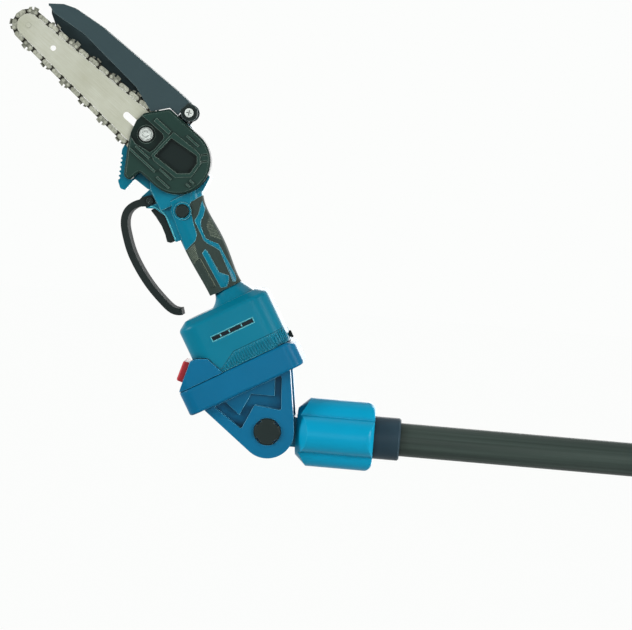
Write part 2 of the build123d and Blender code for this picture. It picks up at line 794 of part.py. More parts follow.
def trigger_solid(frame):
    """Sliding trigger, hollowed to the finger."""
    with BuildPart() as trigger:
        slab(frame, trigger_outline, -TRIGGER_HALF, TRIGGER_HALF, rounding=0.8)
    return trigger


def switch_solid(frame):
    """Switch body behind the trigger."""
    with BuildPart() as switch:
        low = SWITCH_LOW + SEAT
        high = SWITCH_HIGH - SEAT
        half = SWITCH_HALF - SEAT
        block(frame, SWITCH_FRONT, SWITCH_REAR - SEAT, low, high, -half, half)
    return switch


def spring_solid(frame):
    """Envelope of the coil spring between a trigger and its switch."""
    start = frame.from_local_coords((TRIGGER_BACK, (TRIGGER_LOW + TRIGGER_HIGH) / 2, 0))
    with BuildPart() as spring:
        with BuildSketch(Plane(start, x_dir=frame.y_dir, z_dir=frame.x_dir)):
            Circle(TRIGGER_SPRING_RADIUS)
            Circle(TRIGGER_SPRING_RADIUS - TRIGGER_SPRING_WIRE, mode=Mode.SUBTRACT)
        extrude(amount=SWITCH_FRONT - TRIGGER_BACK)
    return spring


def terminal_solid(frame):
    """Terminal block on the foot's floor, with two blades down into the pack."""
    with BuildPart() as terminals:
        half = TERMINAL_HALF - SEAT
        block(frame, BLADE_FRONT - 2 + SEAT, BLADE_REAR + 2 - SEAT, foot_floor_top - FOOT_FLOOR,
              foot_floor_top + TERMINAL_HEIGHT, -half, half)
        for side in (-1, 1):
            mid = side * BLADE_SPACING / 2
            back = mid - BLADE_THICKNESS / 2
            low = rail_top - BLADE_DROP
            block(frame, BLADE_FRONT, BLADE_REAR, low, foot_floor_top, back, back + BLADE_THICKNESS)
    return terminals


# Side cover's outline, which the housing is cut back from
cover_back = PLATE_FRONT
cover_room_top = COVER_FRONT - COVER_FACE
nut_seat = COVER_FRONT - NUT_SINK
chain_reach = BAR_ROOT_HALF + RAIL_RIDE + CUTTER_HEIGHT + MOVE
chain_half = DRIVE_LINK_THICKNESS / 2 + STRAP_LINK_THICKNESS + RIVET_HEAD_HEIGHT
cover_high = COVER_Y + COVER_RADIUS
cover_low = COVER_Y - COVER_RADIUS
cover_points = [
    (COVER_X, cover_low),
    (19.0, cover_low),
    (17.4, -43.0),
    (10.5, -43.0),
    (-4.8, -20.8),
    (-12.0, -8.5),
    (-15.5, 3.0),
    (-14.8, 13.2),
    (0.5, cover_high),
    (COVER_X, cover_high),
]


def cover_face(inset):
    """The side cover's outline, drawn in by an inset."""
    with BuildSketch(BAR.offset(cover_back)) as face:
        with BuildLine():
            FilletPolyline(*cover_points, radius=COVER_ROUND)
            ThreePointArc((COVER_X, cover_high), (COVER_X + COVER_RADIUS, COVER_Y), (COVER_X, cover_low))
        make_face()
        if inset:
            offset(amount=-inset, mode=Mode.REPLACE)
    return face.sketch


# Saw housing: foot, handle, trigger shroud, plate with the jaw, and the motor drum
jaw_front = [(-9.0, -27.0), (8.5, -52.0)]
plate_outline = [
    (-13.0, 11.0),
    (-13.0, -9.0),
    jaw_front[0],
    jaw_front[1],
    (14.7, -55.7),
    (19.0, -54.0),
    (18.8, -39.5),
    (34.0, -38.5),
    (52.0, -31.0),
    (56.0, 12.0),
    (30.0, 29.5),
    (27.0, PLATE_TOP),
    (4.0, PLATE_TOP),
]
shroud_outline = [
    (-14.8, 240.3),
    (-14.5, 252.0),
    (6.0, 258.0),
    (12.0, 240.0),
    (12.0, 198.0),
    (-3.0, 199.0),
    (-1.2, 226.0),
    (-6.7, 236.0),
]
yoke_outline = [(-2.5, 232.0), (42.0, 232.0), (54.0, 241.0), (40.0, 262.0), (0.0, 262.0), (-2.5, 254.0)]
motor_x = SPROCKET_X + gear_distance * cos(radians(MOTOR_DIRECTION + 90 - BAR_LEAN))
motor_y = gear_distance * sin(radians(MOTOR_DIRECTION + 90 - BAR_LEAN))
motor_back = MOTOR_FRONT - MOTOR_LENGTH
gear_back = GEAR_FRONT - GEAR_WIDTH
pinion_back = PINION_FRONT - PINION_LENGTH
gear_tip_r = GEAR_MODULE * (GEAR_TEETH / 2 + 0.8)
pinion_tip_r = GEAR_MODULE * (PINION_TEETH / 2 + 0.8)
near_bearing_front = PLATE_FRONT - 1.0
near_bearing_back = near_bearing_front - BEARING_WIDTH
far_bearing_front = gear_back - 1.0
far_bearing_back = far_bearing_front - BEARING_WIDTH
window = (-8.4, 33.6, 99.9, 103.5)
window_depth = 1.6
head_screws = [(6.0, 26.0), (8.0, -40.0)]
head_screw_seat = PLATE_BACK + PLATE_WELL
serration_pitch = 4.2
serration_radius = 1.4

fork_inner = STRAP_HALF - FORK_THICKNESS
pad_reach = (-BAR_TAIL_HALF, BAR_TAIL_X - 2.0)

with BuildPart() as shroud:
    slab(HEAD, shroud_outline, -SHROUD_HALF, SHROUD_HALF, rounding=1.5)
    for back, front in ((fork_inner, SHROUD_HALF), (-SHROUD_HALF, -fork_inner)):
        block(HEAD, -40, -3.5, 240.0, 260.0, back, front, Mode.SUBTRACT)

with BuildPart() as drum:
    disc(BAR, DRUM_X, DRUM_Y, DRUM_BACK, PLATE_FRONT, DRUM_RADIUS)
    fillet(drum.edges().group_by(Axis.Y)[-1], DRUM_ROUND)
    disc(BAR, DRUM_X, DRUM_Y, DRUM_BACK, DRUM_BACK + VENT_SINK, VENT_OUTER, VENT_INNER, Mode.SUBTRACT)

cover_nest = cover_face(-MOVE)
jaw_run = hypot(jaw_front[1][0] - jaw_front[0][0], jaw_front[1][1] - jaw_front[0][1])
jaw_step_x = (jaw_front[1][0] - jaw_front[0][0]) * serration_pitch / jaw_run
jaw_step_y = (jaw_front[1][1] - jaw_front[0][1]) * serration_pitch / jaw_run
handle_body = foot_and_handle(HEAD)
handle_skin = grip_solid(HEAD)

with BuildPart() as saw_housing:
    add(handle_body)
    add([drum.part, shroud.part])
    slab(BAR, plate_outline, PLATE_BACK, PLATE_FRONT, rounding=2.0)
    slab(HEAD, yoke_outline, -YOKE_HALF, YOKE_HALF, rounding=2.0)
    extrude(cover_nest, amount=COVER_FRONT, mode=Mode.SUBTRACT)
    block(BAR, *pad_reach, -PAD_HALF, PAD_HALF, PLATE_FRONT, bar_back)
    disc(HEAD, LOCK_U, LOCK_V, SWITCH_HALF, LOCK_RING_TOP, LOCK_RADIUS + LOCK_RING)
    for i in range(1, int(jaw_run / serration_pitch)):
        notch_x = jaw_front[0][0] + jaw_step_x * (i + 0.5)
        notch_y = jaw_front[0][1] + jaw_step_y * (i + 0.5)
        disc(BAR, notch_x, notch_y, PLATE_BACK, PLATE_FRONT, serration_radius, mode=Mode.SUBTRACT)
    trigger_room(HEAD)
    disc(HEAD, FORK_U, FORK_V, -SHROUD_HALF, SHROUD_HALF, SCREW_RADIUS + SEAT, mode=Mode.SUBTRACT)
    disc(BAR, 0, 0, STUD_BACK, bar_back, STUD_RADIUS + SEAT, mode=Mode.SUBTRACT)
    disc(BAR, SPROCKET_X, 0, far_bearing_back, PLATE_FRONT, SPINDLE_RADIUS + SHAFT_ROOM, mode=Mode.SUBTRACT)
    disc(BAR, SPROCKET_X, 0, near_bearing_back, PLATE_FRONT, BEARING_RADIUS + SEAT, mode=Mode.SUBTRACT)
    disc(BAR, SPROCKET_X, 0, far_bearing_back, 0, BEARING_RADIUS + SEAT, mode=Mode.SUBTRACT)
    disc(BAR, SPROCKET_X, 0, gear_back - MOVE, 0, gear_tip_r + MOVE, mode=Mode.SUBTRACT)
    disc(BAR, motor_x, motor_y, pinion_back - MOVE, 0, pinion_tip_r + MOVE, mode=Mode.SUBTRACT)
    disc(BAR, motor_x, motor_y, MOTOR_FRONT, 0, MOTOR_SHAFT_RADIUS + SHAFT_ROOM, mode=Mode.SUBTRACT)
    disc(BAR, motor_x, motor_y, motor_back - SEAT, MOTOR_FRONT, MOTOR_RADIUS + SEAT, mode=Mode.SUBTRACT)
    screw_holes(BAR, head_screws, head_screw_seat)
    disc(HEAD, LOCK_U, LOCK_V, SWITCH_HALF, LOCK_OUTER, LOCK_RADIUS + MOVE, mode=Mode.SUBTRACT)
    block(HEAD, *window, FOOT_WIDTH / 2 - window_depth, FOOT_WIDTH, Mode.SUBTRACT)
    add(handle_skin, mode=Mode.SUBTRACT)

with BuildPart() as housing_near:
    add(saw_housing.part)
    split(bisect_by=HEAD, keep=Keep.TOP)
finish(housing_near, "housing_near")

with BuildPart() as housing_far:
    add(saw_housing.part)
    split(bisect_by=HEAD, keep=Keep.BOTTOM)
finish(housing_far, "housing_far")

with BuildPart() as handle_grip:
    add(handle_skin)
finish(handle_grip, "handle_grip")

handle_screws = screws(HEAD, screw_spots)
head_end_screws = screws(BAR, head_screws, head_screw_seat)
with BuildPart() as housing_screws:
    add([handle_screws.part, head_end_screws.part])
finish(housing_screws, "housing_screws")

saw_trigger = trigger_solid(HEAD)
finish(saw_trigger, "saw_trigger")

saw_switch = switch_solid(HEAD)
finish(saw_switch, "saw_switch")

saw_terminals = terminal_solid(HEAD)
finish(saw_terminals, "saw_terminals")

trigger_spring = spring_solid(HEAD)
finish(trigger_spring, "trigger_spring")

with BuildPart() as lock_off_button:
    disc(HEAD, LOCK_U, LOCK_V, SWITCH_HALF + LOCK_TRAVEL + MOVE, LOCK_OUTER, LOCK_RADIUS)
    fillet(lock_off_button.edges().group_by(Axis.Y)[0], 1.2)
finish(lock_off_button, "lock_off_button")

with BuildPart() as charge_window:
    window_back = FOOT_WIDTH / 2 - window_depth
    block(HEAD, window[0] + SEAT, window[1] - SEAT, window[2] + SEAT, window[3] - SEAT,
          window_back, window_back + window_depth + 0.2)
finish(charge_window, "charge_window")

post_plane = Plane(HEAD.from_local_coords((FOOT_REAR, POST_V, 0)), x_dir=HEAD.y_dir, z_dir=HEAD.x_dir)
with BuildPart() as strap_post:
    with BuildSketch(post_plane):
        Circle(POST_RADIUS)
    extrude(amount=POST_LENGTH)
    with BuildSketch(post_plane.offset(POST_LENGTH)):
        Circle(POST_HEAD)
    extrude(amount=POST_HEAD_LENGTH)
    fillet(strap_post.edges().sort_by(Axis((0, 0, 0), HEAD.x_dir))[-1], 0.9)
finish(strap_post, "strap_post")

# Knuckle guard: a springy strap, forked over the lug above the trigger and free at its lower end
strap_line = [
    (-16.5, 247.0),
    (-24.3, 247.9),
    (-31.4, 246.0),
    (-39.2, 237.5),
    (-43.2, 225.3),
    (-45.8, 210.7),
    (-46.2, 196.8),
    (-45.3, 183.9),
    (-42.8, 168.7),
    (-38.2, 152.3),
    (-32.9, 141.1),
    (-26.1, 137.0),
]
fork_outline = [
    (-18.0, 243.5),
    (-18.0, 250.2),
    (-13.5, 251.6),
    (-3.9, 249.2),
    (-3.9, 241.4),
    (-14.5, 242.1),
]

with BuildPart() as knuckle_guard:
    with BuildSketch(HEAD.offset(-STRAP_HALF)):
        with BuildLine():
            Spline(*strap_line)
        trace(line_width=STRAP_THICKNESS)
    extrude(amount=2 * STRAP_HALF)
    for back in (fork_inner + SEAT, -STRAP_HALF):
        slab(HEAD, fork_outline, back, back + FORK_THICKNESS - SEAT, rounding=0.8)
    disc(HEAD, FORK_U, FORK_V, -STRAP_HALF, STRAP_HALF, SCREW_RADIUS + SEAT, mode=Mode.SUBTRACT)
finish(knuckle_guard, "knuckle_guard")

with BuildPart() as knuckle_screw:
    disc(HEAD, FORK_U, FORK_V, -STRAP_HALF, STRAP_HALF, SCREW_RADIUS)
    disc(HEAD, FORK_U, FORK_V, STRAP_HALF, STRAP_HALF + SCREW_HEAD_HEIGHT / 2, SCREW_HEAD)
    block(turned(HEAD, FORK_U, FORK_V, 20), -SCREW_HEAD * 0.6, SCREW_HEAD * 0.6, -0.4, 0.4,
          STRAP_HALF + 0.5, STRAP_HALF + SCREW_HEAD_HEIGHT, Mode.SUBTRACT)
finish(knuckle_screw, "knuckle_screw")

# Side cover, with its stud and nut
nut_pocket = [
    (-22.0, 10.5),
    (11.0, 11.1),
    (15.0, 9.0),
    (15.5, -5.0),
    (13.8, -10.3),
    (-1.9, -13.4),
    (-24.0, -7.5),
]
label_rim = [
    (18.0, 19.1),
    (45.5, 20.7),
    (50.5, 20.3),
    (57.0, 13.5),
    (58.5, -0.8),
    (48.0, -11.4),
    (22.6, -13.3),
    (17.2, -11.2),
]
panel_points = [
    (20.0, 13.6),
    (46.8, 17.4),
    (49.5, 17.3),
    (54.1, 12.2),
    (55.4, 0.5),
    (46.5, -7.6),
    (19.2, -9.6),
]
cover_bars = [
    (-2.6, 16.0, 14.5, 18.0),
    (29.8, 44.2, 24.2, 25.8),
    (0.5, 17.3, -15.6, -14.0),
    (-2.3, 29.7, -21.2, -19.4),
    (31.8, 46.1, -16.2, -14.6),
    (34.6, 49.8, -23.6, -22.0),
    (59.5, 63.8, -9.4, -8.1),
    (59.8, 64.5, -4.7, -3.3),
]
rim_grooves = [(53.6, 23.0), (57.6, 18.0)]
groove_turn = 51.0

cover_outside = cover_face(0.0)
cover_inside = cover_face(COVER_WALL)

with BuildPart() as side_cover:
    extrude(cover_outside, amount=COVER_FRONT - cover_back)
    chamfer(side_cover.faces().sort_by(Axis.Y)[0].edges(), COVER_BEVEL)
    extrude(cover_inside, amount=cover_room_top - cover_back, mode=Mode.SUBTRACT)
    slot_top = bar_mid + chain_half + COVER_BEVEL
    block(BAR, -BAR_REACH, BAR_TAIL_X, -chain_reach, chain_reach, cover_back, slot_top, Mode.SUBTRACT)
    block(BAR, *pad_reach, -PAD_HALF, PAD_HALF, bar_front + SEAT, cover_room_top + 1.0)
    slab(BAR, nut_pocket, COVER_FRONT - POCKET_SINK, COVER_FRONT, rounding=1.5, mode=Mode.SUBTRACT)
    slab(BAR, label_rim, COVER_FRONT - PANEL_SINK, COVER_FRONT + LABEL_RIM)
    panel_high = COVER_FRONT + LABEL_RIM
    slab(BAR, panel_points, COVER_FRONT - PANEL_SINK, panel_high, rounding=1.0, mode=Mode.SUBTRACT)
    for x, y in rim_grooves:
        groove_frame = turned(BAR, x, y, groove_turn)
        block(groove_frame, -3.0, 3.0, -0.7, 0.7, COVER_FRONT - LABEL_RIM, COVER_FRONT, Mode.SUBTRACT)
    for bar in cover_bars:
        block(BAR, *bar, COVER_FRONT - PANEL_SINK, COVER_FRONT + COVER_BAR)
    disc(BAR, 0, 0, nut_seat, COVER_FRONT, NUT_FLANGE + 2.0, mode=Mode.SUBTRACT)
    disc(BAR, 0, 0, cover_back, COVER_FRONT, STUD_RADIUS + MOVE, mode=Mode.SUBTRACT)
finish(side_cover, "side_cover")

with BuildPart() as bar_stud:
    disc(BAR, 0, 0, STUD_BACK, nut_seat + NUT_HEIGHT + 1.0, STUD_RADIUS)
    chamfer(bar_stud.edges().group_by(Axis.Y)[0], 0.6)
finish(bar_stud, "bar_stud")

with BuildPart() as bar_nut:
    disc(BAR, 0, 0, nut_seat, nut_seat + NUT_FLANGE_HEIGHT, NUT_FLANGE)
    with BuildSketch(BAR.offset(nut_seat + NUT_FLANGE_HEIGHT)):
        RegularPolygon(NUT_ACROSS_FLATS / 2, 6, major_radius=False)
    extrude(amount=NUT_HEIGHT - NUT_FLANGE_HEIGHT)
    disc(BAR, 0, 0, nut_seat, nut_seat + NUT_HEIGHT, STUD_RADIUS + SEAT, mode=Mode.SUBTRACT)
finish(bar_nut, "bar_nut")


# Guide bar: a plate with a groove for the chain's tangs all round its edge
def bar_face(inset):
    """The bar's outline, drawn in by an inset."""
    with BuildSketch(BAR.offset(bar_mid)) as face:
        with Locations((-BAR_REACH, 0)):
            Circle(BAR_NOSE_RADIUS - inset)
        with Locations((BAR_ROOT_X, 0)):
            Circle(BAR_ROOT_HALF - inset)
        with Locations((BAR_TAIL_X - inset - 1, 0)):
            Rectangle(2.0, 2 * (BAR_TAIL_HALF - inset))
        make_hull()
    return face.sketch


nose_groove_r = BAR_NOSE_RADIUS + RAIL_RIDE - TANG_DEPTH
nose_sprocket_r = nose_groove_r * cos(pi / 2 / NOSE_TEETH) - MOVE
slot_run = BAR_SLOT_REAR - BAR_SLOT_FRONT
outer_face = bar_face(0.0)
inner_face = bar_face(GROOVE_DEPTH)

with BuildPart() as groove:
    extrude(outer_face, amount=GROOVE_WIDTH / 2, both=True)
    extrude(inner_face, amount=GROOVE_WIDTH / 2, both=True, mode=Mode.SUBTRACT)
    disc(BAR, -BAR_REACH, 0, bar_mid - GROOVE_WIDTH / 2, bar_mid + GROOVE_WIDTH / 2, nose_groove_r + MOVE)

with BuildPart() as guide_bar:
    extrude(outer_face, amount=BAR_THICKNESS / 2, both=True)
    with BuildSketch(BAR.offset(bar_back)):
        with Locations(((BAR_SLOT_FRONT + BAR_SLOT_REAR) / 2, 0)):
            SlotOverall(slot_run, BAR_SLOT_WIDTH)
        with Locations((BAR_HOLE_X, 0)):
            Circle(BAR_HOLE_RADIUS)
        with Locations((-BAR_REACH, 0)):
            Circle(NOSE_RIVET_RADIUS + SEAT)
    extrude(amount=BAR_THICKNESS, mode=Mode.SUBTRACT)
    add(groove.part, mode=Mode.SUBTRACT)
finish(guide_bar, "guide_bar")

with BuildPart() as nose_rivet:
    disc(BAR, -BAR_REACH, 0, bar_back - 0.3, bar_front + 0.3, NOSE_RIVET_RADIUS)
finish(nose_rivet, "nose_rivet")


def star(x, half, tip, depth, bore, teeth):
    """A toothed wheel in the bar's middle plane, with straight-sided teeth."""
    root = tip - depth
    tooth = 2 * pi * root / teeth * 0.42
    with BuildSketch(BAR.offset(bar_mid - half)) as wheel:
        with Locations((x, 0)):
            Circle(root)
            with PolarLocations(root / 2, teeth):
                Rectangle(root, tooth)
            with PolarLocations((root + tip) / 2 - 0.2, teeth):
                Rectangle(tip - root + 0.4, tooth)
            Circle(tip, mode=Mode.INTERSECT)
            Circle(bore, mode=Mode.SUBTRACT)
    extrude(wheel.sketch, amount=2 * half)


with BuildPart() as nose_sprocket:
    wheel_half = DRIVE_LINK_THICKNESS / 2
    star(-BAR_REACH, wheel_half, nose_sprocket_r, TOOTH_DEPTH, NOSE_RIVET_RADIUS + RUN, NOSE_TEETH)
finish(nose_sprocket, "nose_sprocket")

# Chain: rivets evenly spaced round a loop of arcs joined by straight runs
loop_circles = [
    (BAR_ROOT_X, BAR_ROOT_HALF + RAIL_RIDE),
    (-BAR_REACH, BAR_NOSE_RADIUS + RAIL_RIDE),
    (SPROCKET_X, sprocket_pitch_r),
]
root_circle, nose_circle, wheel_circle = loop_circles
nose_angle_at = acos((nose_circle[1] - root_circle[1]) / (root_circle[0] - nose_circle[0]))
wheel_angle_at = acos((root_circle[1] - wheel_circle[1]) / (wheel_circle[0] - root_circle[0]))
loop_arcs = [
    (root_circle, wheel_angle_at, nose_angle_at),
    (nose_circle, nose_angle_at, 2 * pi - nose_angle_at),
    (root_circle, 2 * pi - nose_angle_at, 2 * pi - wheel_angle_at),
    (wheel_circle, -wheel_angle_at, wheel_angle_at),
]


def on_circle(circle, angle):
    return (circle[0] + circle[1] * cos(angle), circle[1] * sin(angle))


def loop_pieces():
    """The loop's arcs and straight runs in order: length and a point for each share of it."""
    pieces = []
    for i, (circle, start, end) in enumerate(loop_arcs):
        bend = circle[1] * (end - start)
        pieces.append((bend, lambda t, c=circle, a=start, b=end: on_circle(c, a + (b - a) * t)))
        after, after_start, _ = loop_arcs[(i + 1) % len(loop_arcs)]
        p, q = on_circle(circle, end), on_circle(after, after_start)
        run = hypot(q[0] - p[0], q[1] - p[1])
        pieces.append((run, lambda t, p=p, q=q: (p[0] + (q[0] - p[0]) * t, p[1] + (q[1] - p[1]) * t)))
    return pieces


chain_loop = loop_pieces()
loop_length = sum(length for length, _ in chain_loop)
link_count = 2 * round(loop_length / CHAIN_PITCH / 4) * 2
rivet_step = loop_length / link_count


def loop_point(distance):
    """The point at a distance along the chain's loop."""
    distance %= loop_length
    for length, at in chain_loop:
        if distance <= length:
            return at(distance / length)
        distance -= length
    return chain_loop[-1][1](1.0)


rivet_points = [loop_point(i * rivet_step) for i in range(link_count)]


def link_frame(i):
    """Frame midway between rivet i and the next: x back along the chain and y away from the bar."""
    p, q = rivet_points[i], rivet_points[(i + 1) % link_count]
    angle = atan2(p[1] - q[1], p[0] - q[0])
    return turned(BAR.offset(bar_mid), (p[0] + q[0]) / 2, (p[1] + q[1]) / 2, degrees(angle))


half_step = rivet_step / 2
strap_back = DRIVE_LINK_THICKNESS / 2 + SEAT


def link_holes(frame, back, front):
    for x in (-half_step, half_step):
        disc(frame, x, 0, back, front, RIVET_RADIUS + SEAT, mode=Mode.SUBTRACT)


def drive_link(frame):
    """Middle link with a tang that runs in the bar's groove."""
    half = DRIVE_LINK_THICKNESS / 2
    low = -LINK_HEIGHT / 2
    tang = [(-2.4, 0), (2.6, 0), (2.2, low), (0.9, -TANG_DEPTH), (-0.7, -TANG_DEPTH), (-2.0, low)]
    with BuildPart() as link:
        with BuildSketch(frame.offset(-half)) as plate:
            SlotCenterToCenter(rivet_step, LINK_HEIGHT)
        extrude(plate.sketch, amount=2 * half)
        slab(frame, tang, -half, half)
        link_holes(frame, -half, half)
    return link.part


def strap_link(frame, side):
    """Plain side link on one side of the chain."""
    back = strap_back if side > 0 else -strap_back - STRAP_LINK_THICKNESS
    with BuildPart() as link:
        with BuildSketch(frame.offset(back)) as plate:
            SlotCenterToCenter(rivet_step, LINK_HEIGHT)
        extrude(plate.sketch, amount=STRAP_LINK_THICKNESS)
        link_holes(frame, back, back + STRAP_LINK_THICKNESS)
    return link.part


def cutter_link(frame, side):
    """Side link with a depth gauge in front and a top plate behind it."""
    back = strap_back if side > 0 else -strap_back - STRAP_LINK_THICKNESS
    front = back + STRAP_LINK_THICKNESS
    top_back, top_front = (-strap_back, back) if side > 0 else (front, strap_back)
    heel = half_step + LINK_HEIGHT / 2
    high = CUTTER_HEIGHT
    gauge = [(-heel + 0.3, 0.6), (-1.2, 0.6), (-1.7, high - 0.7), (-heel + 1.0, high - 1.6)]
    tooth = [(0.6, 0.6), (heel - 0.3, 0.6), (heel, high - 0.8), (0.2, high)]
    plate_top = [(0.3, high - 1.1), (heel, high - 1.9), (heel, high - 0.8), (0.2, high)]
    with BuildPart() as link:
        with BuildSketch(frame.offset(back)) as plate:
            SlotCenterToCenter(rivet_step, LINK_HEIGHT)
        extrude(plate.sketch, amount=STRAP_LINK_THICKNESS)
        slab(frame, gauge, back, front)
        slab(frame, tooth, back, front)
        slab(frame, plate_top, top_back, top_front)
        link_holes(frame, back, front)
    return link.part


def rivet(i):
    """Rivet through a pair of straps and a drive link, with a head at each end."""
    x, y = rivet_points[i]
    reach = strap_back + STRAP_LINK_THICKNESS
    with BuildPart() as pin:
        disc(BAR, x, y, bar_mid - reach, bar_mid + reach, RIVET_RADIUS)
        for back in (reach, -reach - RIVET_HEAD_HEIGHT):
            disc(BAR, x, y, bar_mid + back, bar_mid + back + RIVET_HEAD_HEIGHT, RIVET_HEAD)
    return pin.part


drive_spots = range(0, link_count, 2)
strap_spots = range(1, link_count, 2)
cutter_sides = {i: (1 if n % 4 == 0 else -1) for n, i in enumerate(strap_spots) if n % 2 == 0}
drive_links = [drive_link(link_frame(i)) for i in drive_spots]
cutters = [cutter_link(link_frame(i), side) for i, side in cutter_sides.items()]
straps = [strap_link(link_frame(i), s) for i in strap_spots for s in (1, -1) if cutter_sides.get(i) != s]
rivets = [rivet(i) for i in range(link_count)]

with BuildPart() as chain_drive_links:
    add(drive_links)
finish(chain_drive_links, "chain_drive_links")

with BuildPart() as chain_straps:
    add(straps)
finish(chain_straps, "chain_straps")

with BuildPart() as chain_cutters:
    add(cutters)
finish(chain_cutters, "chain_cutters")

with BuildPart() as chain_rivets:
    add(rivets)
finish(chain_rivets, "chain_rivets")


# Drive train: sprocket, spindle, gear, bearings, pinion and motor
def gear_outline(x, y, teeth, turn):
    """Involute gear teeth as one closed outline, with a tooth pointing along the turn."""
    pitch_r = GEAR_MODULE * teeth / 2
    base_r = pitch_r * cos(radians(PRESSURE_ANGLE))
    tip_r = pitch_r + 0.8 * GEAR_MODULE
    root_r = pitch_r - 1.15 * GEAR_MODULE
    at_pitch = tan(radians(PRESSURE_ANGLE)) - radians(PRESSURE_ANGLE)
    half_at_pitch = pi / 2 / teeth - GEAR_BACKLASH / 4 / pitch_r
    flank = []
    for share in (0.0, 0.35, 0.7, 1.0):
        r = base_r + (tip_r - base_r) * share
        pressure = acos(min(1.0, base_r / r))
        flank.append((r, half_at_pitch + at_pitch - (tan(pressure) - pressure)))
    flank.insert(0, (root_r, flank[0][1]))
    points = []
    for i in range(teeth):
        middle = radians(turn) + 2 * pi * i / teeth
        for r, half in flank:
            points.append((x + r * cos(middle - half), y + r * sin(middle - half)))
        for r, half in reversed(flank):
            points.append((x + r * cos(middle + half), y + r * sin(middle + half)))
    return points


motor_turn = MOTOR_DIRECTION + 90 - BAR_LEAN
flange_r = sprocket_pitch_r * cos(pi / 2 / SPROCKET_TEETH) - LINK_HEIGHT / 2 - MOVE
sprocket_tip_r = sprocket_pitch_r * cos(pi / 2 / SPROCKET_TEETH) - TANG_DEPTH - MOVE
flange_gap = DRIVE_LINK_THICKNESS / 2 + MOVE

with BuildPart() as drive_sprocket:
    star(SPROCKET_X, flange_gap, sprocket_tip_r, TOOTH_DEPTH, SPINDLE_RADIUS + SEAT, SPROCKET_TEETH)
    for back in (bar_mid + flange_gap, bar_mid - SPROCKET_HALF):
        disc(BAR, SPROCKET_X, 0, back, back + SPROCKET_HALF - flange_gap, flange_r, SPINDLE_RADIUS + SEAT)
finish(drive_sprocket, "drive_sprocket")

with BuildPart() as drive_spindle:
    disc(BAR, SPROCKET_X, 0, far_bearing_back, SPINDLE_TIP, SPINDLE_RADIUS)
finish(drive_spindle, "drive_spindle")

with BuildPart() as drive_gear:
    slab(BAR, gear_outline(SPROCKET_X, 0, GEAR_TEETH, motor_turn), gear_back, GEAR_FRONT)
    disc(BAR, SPROCKET_X, 0, gear_back, GEAR_FRONT, SPINDLE_RADIUS + SEAT, mode=Mode.SUBTRACT)
finish(drive_gear, "drive_gear")

with BuildPart() as spindle_bearings:
    disc(BAR, SPROCKET_X, 0, near_bearing_back, near_bearing_front, BEARING_RADIUS, SPINDLE_RADIUS + RUN)
    disc(BAR, SPROCKET_X, 0, far_bearing_back, far_bearing_front, BEARING_RADIUS, SPINDLE_RADIUS + RUN)
finish(spindle_bearings, "spindle_bearings")

with BuildPart() as motor_pinion:
    pinion_points = gear_outline(motor_x, motor_y, PINION_TEETH, motor_turn + 180 + 180 / PINION_TEETH)
    slab(BAR, pinion_points, pinion_back, PINION_FRONT)
    disc(BAR, motor_x, motor_y, MOTOR_FRONT - MOTOR_LENGTH / 2, PINION_FRONT, MOTOR_SHAFT_RADIUS)
finish(motor_pinion, "motor_pinion")

with BuildPart() as motor_can:
    disc(BAR, motor_x, motor_y, motor_back, MOTOR_FRONT, MOTOR_RADIUS)
    bore_back = MOTOR_FRONT - MOTOR_LENGTH / 2 - MOVE
    bore_r = MOTOR_SHAFT_RADIUS + RUN
    disc(BAR, motor_x, motor_y, bore_back, MOTOR_FRONT, bore_r, mode=Mode.SUBTRACT)
finish(motor_can, "motor_can")

# Flip-up chain guard on a bracket above the cover
guard_top = [
    (10.0, 50.1),
    (-6.6, 50.1),
    (-27.6, 49.2),
    (-98.0, 46.7),
    (-129.0, 42.3),
    (-139.4, 37.9),
    (-150.4, 28.6),
]
guard_under = [
    (-148.8, 27.0),
    (-138.3, 35.9),
    (-128.5, 40.2),
    (-97.8, 44.5),
    (-27.5, 47.0),
    (-6.6, 47.9),
    (10.0, 47.9),
]
guard_near_low = [(-141.0, 25.4), (-106.4, 30.0), (-36.9, 26.4), (-11.2, 18.7), (-0.3, 33.3), (10.0, 33.3)]
guard_far_low = [(-145.0, 22.6), (-133.8, 16.6), (-22.0, 16.6), (-17.0, 30.0), (-2.0, 42.0), (10.0, 42.0)]
near_back = GUARD_NEAR - GUARD_WALL
far_front = GUARD_FAR + GUARD_WALL


def guard_tab(back):
    """Rounded tab round the hinge screw at the rear of one wall."""
    with BuildSketch(BAR.offset(back)) as tab:
        with Locations((HINGE_X, HINGE_Y)):
            Circle(GUARD_TAB)
        with Locations((HINGE_X - GUARD_TAB - 2.0, HINGE_Y + 2.0)):
            Rectangle(4.0, GUARD_TAB)
        make_hull()
        with Locations((HINGE_X, HINGE_Y)):
            Circle(HINGE_RADIUS + RUN, mode=Mode.SUBTRACT)
    extrude(tab.sketch, amount=GUARD_WALL)


with BuildPart() as chain_guard:
    slab(BAR, guard_top + guard_near_low, near_back, GUARD_NEAR)
    slab(BAR, guard_top + guard_far_low, GUARD_FAR, far_front)
    slab(BAR, guard_top + guard_under, GUARD_FAR, GUARD_NEAR)
    guard_tab(near_back)
    guard_tab(GUARD_FAR)
finish(chain_guard, "chain_guard")

